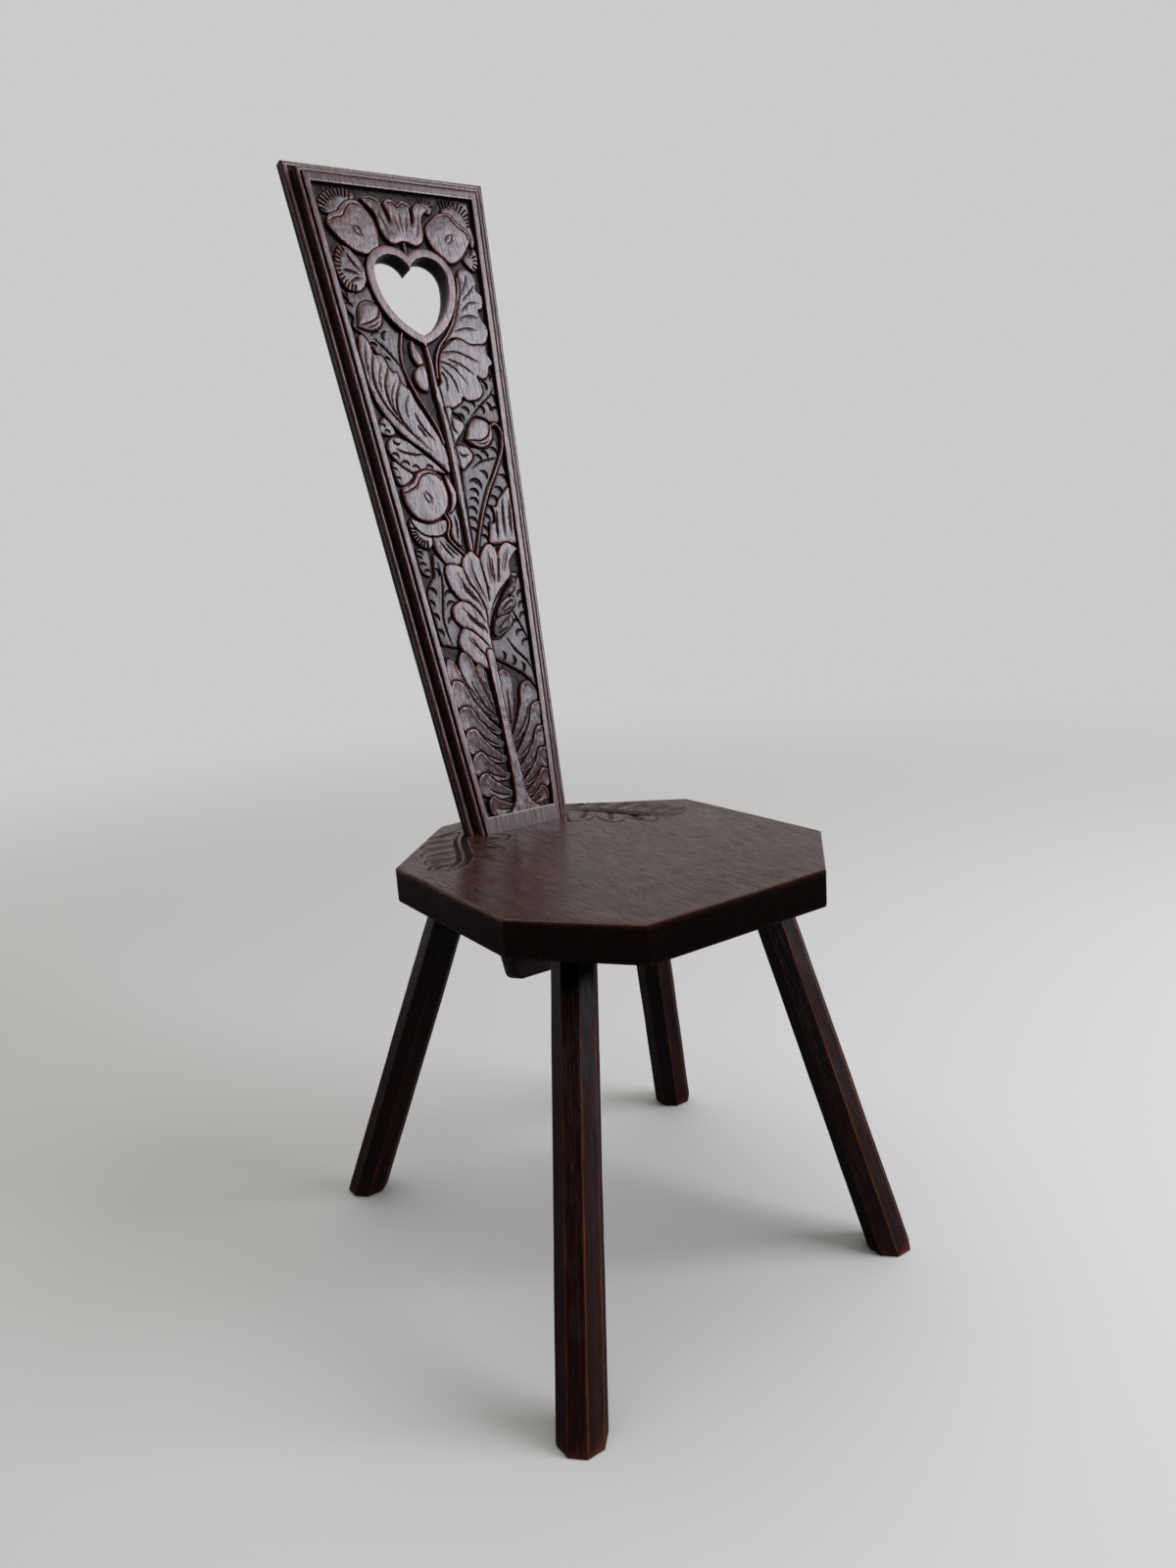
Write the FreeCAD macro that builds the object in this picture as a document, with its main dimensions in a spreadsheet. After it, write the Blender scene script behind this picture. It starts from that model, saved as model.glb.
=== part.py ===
"""Spinning chair: an octagonal plank seat on four splayed octagonal legs, with one leaning,
tapered, moulded back plank that passes through the seat and is pierced by a heart.

Millimetres, +Z up, the sitter faces -Y, so the sitter's right is -X. The origin lies on the floor
under the middle of the whole chair."""
import FreeCAD, Part
import math
import os
import Sketcher

doc = FreeCAD.newDocument("spinning_chair")

# Driving dimensions: word, value in millimetres or degrees
SIZES = [
    ("seat_centre_y", -41.2),
    ("seat_thickness", 28.5),
    ("seat_height", 337),
    ("seat_front", 167),
    ("seat_rear", 166.5),
    ("front_edge_right_end", 83),
    ("front_edge_left_end", 80),
    ("rear_edge_right_end", 58),
    ("rear_edge_left_end", 45),
    ("right_edge_front_x", 146),
    ("right_edge_front_y", 88),
    ("right_edge_rear_x", 144),
    ("right_edge_rear_y", 79),
    ("left_edge_front_x", 153),
    ("left_edge_front_y", 92),
    ("left_edge_rear_x", 151),
    ("left_edge_rear_y", 75),
    ("seat_arris", 1.5),
    ("plank_lean", 14.7),
    ("plank_side_lean", 0.44),
    ("plank_from_centre", 108),
    ("plank_to_right", 5.2),
    ("plank_thickness", 19),
    ("border_half_at_seat", 37.6),
    ("border_half_at_top", 82.6),
    ("border_top", 573),
    ("tang_below_seat_top", 128),
    ("inner_bead_out", 5),
    ("outer_bead_out", 12.8),
    ("inner_bead_up", 5.5),
    ("outer_bead_up", 12.8),
    ("inner_bead_depth", 1.2),
    ("outer_bead_depth", 7.6),
    ("inner_bead_round", 2.4),
    ("outer_bead_round", 2.8),
    ("panel_side_border", 4.7),
    ("panel_top_border", 7),
    ("panel_bottom", 14),
    ("panel_depth", 5),
    ("heart_centre", 490),
    ("heart_lobe_centre", 17),
    ("heart_lobe_radius", 18),
    ("heart_tip_drop", 53),
    ("heart_rim", 7),
    ("heart_rim_below_border", 0.5),
    ("stem_foot_below_border", 0.1),
    ("stem_below_border", 1),
    ("flower_below_border", 1.2),
    ("leaf_below_border", 1.8),
    ("frond_below_border", 2.2),
    ("leg_flats_at_foot", 33.5),
    ("leg_flats_at_seat", 31),
    ("front_top_x", 90),
    ("front_top_y", -88),
    ("rear_top_x", 93),
    ("rear_top_y", 79),
    ("front_right_foot_x", -168),
    ("front_right_foot_y", -176),
    ("front_left_foot_x", 146),
    ("front_left_foot_y", -166),
    ("rear_right_foot_x", -151),
    ("rear_right_foot_y", 201),
    ("rear_left_foot_x", 168),
    ("rear_left_foot_y", 141),
    ("tenon_diameter", 22),
    ("tenon_length", 19),
    ("socket_clearance", 0.2),
    ("wedge_length", 14),
    ("wedge_thick_end", 3.2),
    ("wedge_thin_end", 1),
    ("wedge_width", 18),
    ("kerf_overrun", 2),
    ("peg_diameter", 8),
    ("peg_clearance", 0.1),
    ("peg_spacing", 48),
    ("peg_reach_in_plank", 13),
    ("peg_below_seat_top", 14),
]

sheet = doc.addObject("Spreadsheet::Sheet", "sizes")
for row, (word, value) in enumerate(SIZES, start=1):
    sheet.set(f"A{row}", word)
    sheet.set(f"B{row}", str(value))
    sheet.setAlias(f"B{row}", word)
doc.recompute()


def size(word):
    """The value of one cell of the sheet."""
    return float(sheet.get(word))


def number(expression):
    """The present value of an expression on the sheet."""
    value = sheet.evalExpression(expression)
    return float(getattr(value, "Value", value))


def origin_plane(body, role):
    """One of a body's own origin planes."""
    return next(plane for plane in body.Origin.OriginFeatures if plane.Role == role)


def new_body(label):
    body = doc.addObject("PartDesign::Body", label)
    body.Label = label
    return body


def new_sketch(body, name, height="0"):
    """A sketch parallel to the body's XY plane, at a height given as an expression."""
    sketch = body.newObject("Sketcher::SketchObject", name)
    sketch.AttachmentSupport = [(origin_plane(body, "XY_Plane"), "")]
    sketch.MapMode = "FlatFace"
    sketch.setExpression("AttachmentOffset.Base.z", height)
    return sketch


def bind(sketch, kind, *where, to):
    """Add one dimension to a sketch and bind it to an expression on the sheet."""
    index = sketch.addConstraint(Sketcher.Constraint(kind, *where, number(to)))
    sketch.setExpression(f"Constraints[{index}]", to)


ROOT_POINT = (-1, 1)
VERTICAL_AXIS = -2


def polygon(sketch, corners):
    """A closed outline whose corners are pairs of expressions."""
    spots = [FreeCAD.Vector(number(x), number(y), 0) for x, y in corners]
    count = len(spots)
    for i in range(count):
        sketch.addGeometry(Part.LineSegment(spots[i], spots[(i + 1) % count]), False)
    for i in range(count):
        sketch.addConstraint(Sketcher.Constraint("Coincident", i, 2, (i + 1) % count, 1))
    for i, (x, y) in enumerate(corners):
        bind(sketch, "DistanceX", *ROOT_POINT, i, 1, to=x)
        bind(sketch, "DistanceY", *ROOT_POINT, i, 1, to=y)


def pad(body, name, sketch, length):
    feature = body.newObject("PartDesign::Pad", name)
    feature.Profile = sketch
    feature.setExpression("Length", length)
    doc.recompute()
    return feature


LEAST_CHANGE = 1


def check_grows(before, body, larger):
    """Stop if a feature added nothing, or cut nothing away."""
    doc.recompute()
    change = body.Shape.Volume - before
    if (change > 0) != larger or abs(change) < LEAST_CHANGE:
        raise RuntimeError(f"{body.Label}: a feature changed the volume by {change:.2f}")


def pocket(body, name, sketch, depth=None, upward=False):
    """Cut a sketch's outline into a body, to a depth or through all of it."""
    before = body.Shape.Volume
    feature = body.newObject("PartDesign::Pocket", name)
    feature.Profile = sketch
    if depth is None:
        feature.Type = "ThroughAll"
        feature.Midplane = True
    else:
        feature.setExpression("Length", depth)
    feature.Reversed = upward
    check_grows(before, body, larger=False)
    return feature


# Back plank. Its own frame has X across, Y up the plank and Z out of its front; the flat border of
# the front is at Z = 0 and the point Y = 0 is where that border meets the top of the seat.
EDGE_NEAR = 0.01
SPREAD = "((sizes.border_half_at_top - sizes.border_half_at_seat) / sizes.border_top)"


def plank_outline(low, high, out):
    """The tapered outline between two heights, wider than the border's outer edge by out."""
    half_low = f"(sizes.border_half_at_seat + {out} + ({low}) * {SPREAD})"
    half_high = f"(sizes.border_half_at_seat + {out} + ({high}) * {SPREAD})"
    return [(f"-{half_low}", low), (half_low, low), (half_high, high), (f"-{half_high}", high)]


def round_step(body, bead):
    """Round the outer arris of one step of the plank's edge, at its sides and top, into a bead."""
    step = body.Tip
    top = number(f"sizes.border_top + sizes.{bead}_up")
    chosen = []
    for i, edge in enumerate(step.Shape.Edges, start=1):
        middle = edge.CenterOfMass
        half = number(f"sizes.border_half_at_seat + sizes.{bead}_out + {middle.y} * {SPREAD}")
        at_side = abs(abs(middle.x) - half) < EDGE_NEAR
        at_top = abs(middle.x) < EDGE_NEAR and abs(middle.y - top) < EDGE_NEAR
        level = abs(edge.BoundBox.ZMin + size(f"{bead}_depth")) < EDGE_NEAR
        flat = edge.BoundBox.ZLength < EDGE_NEAR
        if level and flat and (at_side or at_top):
            chosen.append(f"Edge{i}")
    feature = body.newObject("PartDesign::Fillet", bead)
    feature.Base = (step, chosen)
    feature.setExpression("Radius", f"sizes.{bead}_round")
    doc.recompute()


def heart(sketch, grow):
    """A heart of two lobes and two longer side arcs, larger all round by an expression."""
    lobe_x = size("heart_lobe_centre")
    middle = size("heart_centre")
    lobe = number(f"sizes.heart_lobe_radius + {grow}")
    widest = lobe_x + size("heart_lobe_radius")
    side = (widest ** 2 + size("heart_tip_drop") ** 2) / (2 * widest)
    side_centre = widest - side
    side = number(f"{side} + {grow}")
    notch = math.acos(-lobe_x / lobe)
    tip = math.acos(-side_centre / side)
    up = FreeCAD.Vector(0, 0, 1)
    for sign in (1, -1):
        lobe_circle = Part.Circle(FreeCAD.Vector(sign * lobe_x, middle, 0), up, lobe)
        side_circle = Part.Circle(FreeCAD.Vector(sign * side_centre, middle, 0), up, side)
        if sign > 0:
            sketch.addGeometry(Part.ArcOfCircle(lobe_circle, 0, notch), False)
            sketch.addGeometry(Part.ArcOfCircle(side_circle, -tip, 0), False)
        else:
            sketch.addGeometry(Part.ArcOfCircle(lobe_circle, math.pi - notch, math.pi), False)
            sketch.addGeometry(Part.ArcOfCircle(side_circle, math.pi, math.pi + tip), False)
    right_lobe, right_side, left_lobe, left_side = range(4)
    start, end, centre = 1, 2, 3
    link = [
        ("Coincident", right_lobe, end, left_lobe, start),
        ("Coincident", right_lobe, start, right_side, end),
        ("Coincident", left_lobe, end, left_side, start),
        ("Coincident", right_side, start, left_side, end),
        ("PointOnObject", right_lobe, end, VERTICAL_AXIS),
        ("PointOnObject", right_side, start, VERTICAL_AXIS),
        ("Equal", right_lobe, left_lobe),
    ]
    for words in link:
        sketch.addConstraint(Sketcher.Constraint(*words))
    bind(sketch, "Radius", right_lobe, to=f"sizes.heart_lobe_radius + {grow}")
    bind(sketch, "DistanceX", *ROOT_POINT, right_lobe, centre, to="sizes.heart_lobe_centre")
    for arc, spot in (
        (right_lobe, centre),
        (left_lobe, centre),
        (right_side, centre),
        (left_side, centre),
        (right_lobe, start),
        (left_lobe, end),
    ):
        bind(sketch, "DistanceY", *ROOT_POINT, arc, spot, to="sizes.heart_centre")
    half = "(sizes.heart_lobe_centre + sizes.heart_lobe_radius)"
    radius = f"(({half} ^ 2 + sizes.heart_tip_drop ^ 2) / (2 * {half}))"
    drop = f"sqrt(({radius} + {grow}) ^ 2 - ({radius} - {half}) ^ 2)"
    bind(sketch, "DistanceY", *ROOT_POINT, right_side, start, to=f"sizes.heart_centre - {drop}")


plank = new_body("plank_blank")
plank.setExpression("Placement.Base.x", "0 - sizes.plank_to_right")
plank.setExpression("Placement.Base.y", "sizes.seat_centre_y + sizes.plank_from_centre")
plank.setExpression("Placement.Base.z", "sizes.seat_height")
lean_back = FreeCAD.Rotation(FreeCAD.Vector(1, 0, 0), 90 - size("plank_lean"))
lean_aside = FreeCAD.Rotation(FreeCAD.Vector(0, 0, 1), -size("plank_side_lean"))
plank.Placement.Rotation = lean_back.multiply(lean_aside)

TANG_END = "-sizes.tang_below_seat_top"
steps = [
    ("back", "plank_thickness", "outer_bead_depth", "sizes.outer_bead_out", "sizes.outer_bead_up"),
    ("middle", "outer_bead_depth", "inner_bead_depth", "sizes.inner_bead_out", "sizes.inner_bead_up"),
    ("border", "inner_bead_depth", None, "0", "0"),
]
for name, low_depth, high_depth, out, up in steps:
    outline = new_sketch(plank, f"{name}_outline", f"-sizes.{low_depth}")
    polygon(outline, plank_outline(TANG_END, f"sizes.border_top + {up}", out))
    thickness = f"sizes.{low_depth}" + (f" - sizes.{high_depth}" if high_depth else "")
    pad(plank, f"{name}_step", outline, thickness)
for bead in ("outer_bead", "inner_bead"):
    round_step(plank, bead)

panel = new_sketch(plank, "panel_outline")
panel_top = "sizes.border_top - sizes.panel_top_border"
polygon(panel, plank_outline("sizes.panel_bottom", panel_top, "(0 - sizes.panel_side_border)"))
pocket(plank, "sunk_panel", panel, "sizes.panel_depth")

rim = new_sketch(plank, "heart_rim_outline", "-sizes.panel_depth")
heart(rim, "sizes.heart_rim")
pad(plank, "heart_rim", rim, "sizes.panel_depth - sizes.heart_rim_below_border")

# Main forms of the carved plant, raised from the sunk ground: name, kind, corners across and up
CARVED_FORMS = [
    ("left_poppy", "flower", [
        (-36, 553), (-25, 536), (-27, 515), (-41, 507), (-60, 518), (-69, 532), (-56, 544)]),
    ("tulip", "flower", [
        (-33, 557), (-11, 548), (0, 556), (12, 547), (28, 554), (20, 538), (18, 522), (-17, 522),
        (-23, 541)]),
    ("right_poppy", "flower", [
        (24, 529), (32, 544), (47, 551), (60, 541), (68, 531), (55, 511), (42, 505), (31, 514)]),
    ("upper_leaf", "leaf", [
        (47, 490), (54, 500), (61, 498), (67, 476), (61, 463), (66, 447), (59, 434), (34, 440)]),
    ("poppy_leaf", "leaf", [
        (13, 421), (33, 432), (60, 428), (64, 415), (51, 400), (43, 382), (8, 373), (0, 383), (9, 400)]),
    ("left_bud", "flower", [(-60, 443), (-56, 461), (-46, 466), (-36, 454), (-46, 440)]),
    ("great_leaf", "leaf", [
        (-4, 320), (-28, 340), (-48, 360), (-60, 386), (-63, 420), (-58, 435), (-47, 417), (-33, 402),
        (-20, 378), (-4, 347)]),
    ("right_bud", "flower", [(21, 345), (31, 362), (45, 361), (50, 350), (41, 338), (27, 340)]),
    ("serrated_leaf", "leaf", [(-56, 338), (-46, 347), (-30, 337), (-8, 317), (-38, 318)]),
    ("middle_poppy", "flower", [
        (-50, 303), (-25, 316), (-12, 311), (-8, 295), (-15, 280), (-31, 273), (-46, 282)]),
    ("jagged_leaf", "leaf", [(54, 298), (40, 288), (27, 266), (25, 253), (50, 253)]),
    ("stem", "stem", [
        (-1, 427), (4, 427), (8, 345), (10, 318), (7, 240), (1, 240), (0, 318), (1, 345)]),
    ("acanthus", "stem", [
        (0, 143), (-15, 148), (-27, 165), (-20, 179), (-27, 194), (-17, 203), (-26, 225), (-16, 234),
        (20, 250), (29, 241), (41, 250), (49, 244), (38, 222), (22, 207), (8, 184), (4, 150)]),
    ("half_turned_leaf", "frond", [(10, 186), (28, 208), (35, 206), (34, 190), (25, 172), (9, 165)]),
    ("left_frond", "frond", [
        (-3, 24), (-26, 18), (-34, 50), (-37, 90), (-40, 152), (-12, 145), (-3, 100)]),
    ("right_frond", "frond", [
        (11, 24), (30, 24), (37, 60), (41, 106), (33, 126), (10, 138), (7, 100)]),
    ("stem_foot", "stem_foot", [
        (-14, 12), (-5, 22), (-1, 60), (-2, 142), (4, 142), (6, 80), (10, 26), (18, 12)]),
]
for name, kind, corners in CARVED_FORMS:
    outline = new_sketch(plank, f"{name}_outline", "-sizes.panel_depth")
    polygon(outline, [(str(x), str(y)) for x, y in corners])
    before = plank.Shape.Volume
    pad(plank, name, outline, f"sizes.panel_depth - sizes.{kind}_below_border")
    check_grows(before, plank, larger=True)

piercing = new_sketch(plank, "heart_piercing_outline")
heart(piercing, "0")
pocket(plank, "heart_piercing", piercing)

# Seat board: an uneven octagon with eased top arrises and four blind sockets at the legs' angles
seat = new_body("seat_blank")
seat.setExpression("Placement.Base.y", "sizes.seat_centre_y")
seat.setExpression("Placement.Base.z", "sizes.seat_height - sizes.seat_thickness")
octagon = new_sketch(seat, "octagon")
polygon(octagon, [
    ("sizes.front_edge_left_end", "-sizes.seat_front"),
    ("sizes.left_edge_front_x", "-sizes.left_edge_front_y"),
    ("sizes.left_edge_rear_x", "sizes.left_edge_rear_y"),
    ("sizes.rear_edge_left_end", "sizes.seat_rear"),
    ("-sizes.rear_edge_right_end", "sizes.seat_rear"),
    ("-sizes.right_edge_rear_x", "sizes.right_edge_rear_y"),
    ("-sizes.right_edge_front_x", "-sizes.right_edge_front_y"),
    ("-sizes.front_edge_right_end", "-sizes.seat_front"),
])
board = pad(seat, "board", octagon, "sizes.seat_thickness")
top_face = max(range(len(board.Shape.Faces)), key=lambda i: board.Shape.Faces[i].CenterOfMass.z)
arris = seat.newObject("PartDesign::Fillet", "eased_arris")
arris.Base = (board, [f"Face{top_face + 1}"])
arris.setExpression("Radius", "sizes.seat_arris")
doc.recompute()

UNDERSIDE = "sizes.seat_height - sizes.seat_thickness"
CORNERS = {
    "front_right": (-1, "front"),
    "front_left": (1, "front"),
    "rear_right": (-1, "rear"),
    "rear_left": (1, "rear"),
}


def leg_lean(corner):
    """The turn from upright to a leg's axis, pointing up into the seat."""
    side, end = CORNERS[corner]
    top = FreeCAD.Vector(side * size(f"{end}_top_x"), size(f"{end}_top_y"), number(UNDERSIDE))
    foot = FreeCAD.Vector(size(f"{corner}_foot_x"), size(f"{corner}_foot_y"), 0)
    return FreeCAD.Rotation(FreeCAD.Vector(0, 0, 1), top - foot)


def tilted_circle(body, name, corner, height, diameter):
    """A circle square to a leg's axis, round the point where the axis meets the seat's underside."""
    side, end = CORNERS[corner]
    sketch = new_sketch(body, name, height)
    sketch.AttachmentOffset = FreeCAD.Placement(FreeCAD.Vector(), leg_lean(corner))
    sketch.setExpression("AttachmentOffset.Base.x", f"{side} * sizes.{end}_top_x")
    sketch.setExpression("AttachmentOffset.Base.y", f"sizes.{end}_top_y")
    circle = Part.Circle(FreeCAD.Vector(), FreeCAD.Vector(0, 0, 1), number(diameter) / 2)
    sketch.addGeometry(circle, False)
    sketch.addConstraint(Sketcher.Constraint("Coincident", 0, 3, *ROOT_POINT))
    bind(sketch, "Diameter", 0, to=diameter)
    return sketch


SOCKET = "sizes.tenon_diameter + 2 * sizes.socket_clearance"
SOCKET_DEPTH = "sizes.tenon_length + sizes.socket_clearance"
for corner in CORNERS:
    mouth = tilted_circle(seat, f"{corner}_socket_mouth", corner, "0", SOCKET)
    bore = pocket(seat, f"{corner}_socket", mouth, SOCKET_DEPTH, upward=True)
    before = seat.Shape.Volume
    bore.SideType = "Two sides"
    bore.Type2 = "Length"
    bore.setExpression("Length2", "sizes.tenon_diameter / 2")
    check_grows(before, seat, larger=False)

# Legs: octagonal shafts, flat on the floor and against the seat, each with a round tenon
OCTAGON_SIDE = math.tan(math.pi / 8)


def leg_outline(sketch, x, y, flats):
    """A regular octagon with its flats square to the seat's sides."""
    near = f"{OCTAGON_SIDE} * {flats} / 2"
    far = f"{flats} / 2"
    turns = [(far, near, 1, -1), (far, near, 1, 1), (near, far, 1, 1), (near, far, -1, 1),
             (far, near, -1, 1), (far, near, -1, -1), (near, far, -1, -1), (near, far, 1, -1)]
    polygon(sketch, [(f"{x} + {sx} * {dx}", f"{y} + {sy} * {dy}") for dx, dy, sx, sy in turns])


leg_blanks = {}
for corner, (side, end) in CORNERS.items():
    body = new_body(f"{corner}_leg_blank")
    body.setExpression("Placement.Base.y", "sizes.seat_centre_y")
    sole = new_sketch(body, "sole")
    leg_outline(sole, f"sizes.{corner}_foot_x", f"sizes.{corner}_foot_y", "sizes.leg_flats_at_foot")
    shoulder = new_sketch(body, "shoulder", UNDERSIDE)
    leg_outline(shoulder, f"{side} * sizes.{end}_top_x", f"sizes.{end}_top_y", "sizes.leg_flats_at_seat")
    shaft = body.newObject("PartDesign::AdditiveLoft", "shaft")
    shaft.Profile = sole
    shaft.Sections = [shoulder]
    shaft.Ruled = True
    doc.recompute()
    ring = tilted_circle(body, "tenon_ring", corner, UNDERSIDE, "sizes.tenon_diameter")
    before = body.Shape.Volume
    tenon = body.newObject("PartDesign::Pad", "tenon")
    tenon.Profile = ring
    tenon.SideType = "Two sides"
    tenon.setExpression("Length", "sizes.tenon_length")
    tenon.setExpression("Length2", "sizes.tenon_diameter / 2")
    check_grows(before, body, larger=True)
    leg_blanks[corner] = body


def wedge_shape(name, corner, width):
    """A thin tapered wedge, thick at the tenon's end, with its faces square to the seat's grain."""
    side, end = CORNERS[corner]
    wedge = doc.addObject("Part::Wedge", name)
    wedge.Label = name
    spans = {
        "Ymin": "sizes.tenon_length - sizes.wedge_length",
        "Ymax": "sizes.tenon_length",
        "Xmin": f"-{width} / 2",
        "Xmax": f"{width} / 2",
        "X2min": f"-{width} / 2",
        "X2max": f"{width} / 2",
        "Zmin": "-sizes.wedge_thin_end / 2",
        "Zmax": "sizes.wedge_thin_end / 2",
        "Z2min": "-sizes.wedge_thick_end / 2",
        "Z2max": "sizes.wedge_thick_end / 2",
    }
    for word, expression in spans.items():
        wedge.setExpression(word, expression)
    stand_up = FreeCAD.Rotation(FreeCAD.Vector(1, 0, 0), 90)
    wedge.Placement = FreeCAD.Placement(FreeCAD.Vector(), leg_lean(corner).multiply(stand_up))
    wedge.setExpression("Placement.Base.x", f"{side} * sizes.{end}_top_x")
    wedge.setExpression("Placement.Base.y", f"sizes.seat_centre_y + sizes.{end}_top_y")
    wedge.setExpression("Placement.Base.z", UNDERSIDE)
    return wedge


def cut(label, base, tool):
    feature = doc.addObject("Part::Cut", label)
    feature.Label = label
    feature.Base = base
    feature.Tool = tool
    doc.recompute()
    return feature


pieces = []
for corner in CORNERS:
    kerf = wedge_shape(f"{corner}_kerf", corner, "(sizes.tenon_diameter + sizes.kerf_overrun)")
    pieces.append(cut(f"{corner}_leg", leg_blanks[corner], kerf))
    pieces.append(wedge_shape(f"{corner}_wedge", corner, "sizes.wedge_width"))

# Two pegs driven from the seat's rear edge into the back of the plank
PLANK_BACK = ("(sizes.plank_from_centre - sizes.peg_below_seat_top * tan(sizes.plank_lean * 1 deg)"
              " + sizes.plank_thickness / cos(sizes.plank_lean * 1 deg))")
PEG_TIP = f"(sizes.seat_centre_y + {PLANK_BACK} - sizes.peg_reach_in_plank)"
REAR_EDGE = "(sizes.seat_centre_y + sizes.seat_rear)"


def peg_shape(name, side, clearance):
    """A round peg along Y, from its tip inside the plank to the seat's rear edge."""
    peg = doc.addObject("Part::Cylinder", name)
    peg.Label = name
    peg.setExpression("Radius", f"sizes.peg_diameter / 2 + {clearance}")
    peg.setExpression("Height", f"{REAR_EDGE} - {PEG_TIP} + {clearance}")
    peg.Placement.Rotation = FreeCAD.Rotation(FreeCAD.Vector(1, 0, 0), -90)
    peg.setExpression("Placement.Base.x", f"{side} * sizes.peg_spacing / 2 - sizes.plank_to_right")
    peg.setExpression("Placement.Base.y", f"{PEG_TIP} - {clearance}")
    peg.setExpression("Placement.Base.z", "sizes.seat_height - sizes.peg_below_seat_top")
    return peg


holes = doc.addObject("Part::MultiFuse", "peg_holes")
holes.Shapes = [
    peg_shape("right_peg_hole", -1, "sizes.peg_clearance"),
    peg_shape("left_peg_hole", 1, "sizes.peg_clearance"),
]
pieces.append(peg_shape("right_back_peg", -1, "0"))
pieces.append(peg_shape("left_back_peg", 1, "0"))
pieces.append(cut("back_plank", plank, holes))
mortised = cut("mortised_seat", seat, plank)
pieces.append(cut("seat_board", mortised, holes))
doc.recompute()

for thing in doc.Objects:
    if "Invalid" in thing.State or "Error" in thing.State:
        raise RuntimeError(f"{thing.Label} is {thing.State}")
for piece in pieces:
    if piece.Shape.isNull() or not piece.Shape.isValid() or len(piece.Shape.Solids) != 1:
        raise RuntimeError(f"{piece.Label} is not one valid solid")

os.makedirs("parts", exist_ok=True)
whole = FreeCAD.BoundBox()
for piece in pieces:
    piece.Shape.exportStep(f"parts/{piece.Label}.step")
    box = piece.Shape.optimalBoundingBox()
    whole.add(box)
    lengths = f"{box.XLength:.1f} x {box.YLength:.1f} x {box.ZLength:.1f} mm"
    print(f"{piece.Label}: {piece.Shape.Volume / 1000:.1f} cm3, {lengths}")
print(f"whole: X {whole.XMin:.2f} to {whole.XMax:.2f}")
print(f"whole: Y {whole.YMin:.2f} to {whole.YMax:.2f}")
print(f"whole: Z {whole.ZMin:.2f} to {whole.ZMax:.2f}")
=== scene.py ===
# %% [markdown]
# # Spinning chair
#
# A low, armless chair for work at a spinning wheel, made of oak and stained almost black. Three
# kinds of part make it: an octagonal plank seat, four octagonal legs splayed under it, and one tall
# plank that leans back, passes through the seat and is carved with poppies round a pierced heart.
#
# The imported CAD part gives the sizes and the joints. This notebook builds what the eye sees: the
# carving, the moulded edge, hand-shaved legs, worn arrises and old polish. Lengths are millimetres
# while a piece is being shaped, and metres once it stands in the scene.

# %% Load the CAD frame
import math

import bmesh
import bpy
import numpy as np
from mathutils import Matrix, Vector
from mathutils.geometry import tessellate_polygon


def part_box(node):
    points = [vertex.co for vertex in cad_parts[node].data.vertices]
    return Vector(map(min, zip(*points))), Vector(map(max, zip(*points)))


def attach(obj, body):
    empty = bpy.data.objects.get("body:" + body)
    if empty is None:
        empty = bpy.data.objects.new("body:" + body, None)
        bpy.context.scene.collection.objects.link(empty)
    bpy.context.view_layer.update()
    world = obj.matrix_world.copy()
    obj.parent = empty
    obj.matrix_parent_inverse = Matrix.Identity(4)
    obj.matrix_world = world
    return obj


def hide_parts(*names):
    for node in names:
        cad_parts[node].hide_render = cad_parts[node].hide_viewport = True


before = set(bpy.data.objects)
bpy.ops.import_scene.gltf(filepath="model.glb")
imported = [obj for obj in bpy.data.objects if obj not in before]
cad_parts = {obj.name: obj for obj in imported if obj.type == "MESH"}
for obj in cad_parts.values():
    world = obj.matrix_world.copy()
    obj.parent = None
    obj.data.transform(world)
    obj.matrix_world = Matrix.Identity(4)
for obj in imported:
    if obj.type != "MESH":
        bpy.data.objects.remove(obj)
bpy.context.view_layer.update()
MM = 0.001

# %% [markdown]
# ## Where the photographer stood
#
# The picture was taken from close by and to the sitter's right, a little above the top of the back,
# with the camera not quite level. A short lens that near makes the front leg long and the rear legs
# small. The angles below come from fitting the seat's eight corners, the plank's border and the feet.

# %% Camera
CAMERA_PLACE = Vector((-0.504, -0.7686, 0.5933))
CAMERA_AZIMUTH = math.radians(-34.223)
CAMERA_ELEVATION = math.radians(12.9)
CAMERA_ROLL = math.radians(-3.76)
LENS = 26.34


def place_camera():
    """Set the camera from its azimuth, elevation and roll."""
    back = Vector((
        math.sin(CAMERA_AZIMUTH) * math.cos(CAMERA_ELEVATION),
        -math.cos(CAMERA_AZIMUTH) * math.cos(CAMERA_ELEVATION),
        math.sin(CAMERA_ELEVATION),
    ))
    right = Vector((0, 0, 1)).cross(back).normalized()
    up = back.cross(right)
    turned_right = math.cos(CAMERA_ROLL) * right + math.sin(CAMERA_ROLL) * up
    turned_up = -math.sin(CAMERA_ROLL) * right + math.cos(CAMERA_ROLL) * up
    camera = bpy.data.objects.new("camera", bpy.data.cameras.new("camera"))
    camera.data.sensor_width = 36
    camera.data.lens = LENS
    camera.data.clip_start = 0.01
    turn = Matrix((turned_right, turned_up, back)).transposed()
    camera.matrix_world = Matrix.Translation(CAMERA_PLACE) @ turn.to_4x4()
    bpy.context.scene.collection.objects.link(camera)
    bpy.context.scene.camera = camera


place_camera()
print("camera at", tuple(round(v, 3) for v in CAMERA_PLACE))

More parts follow.
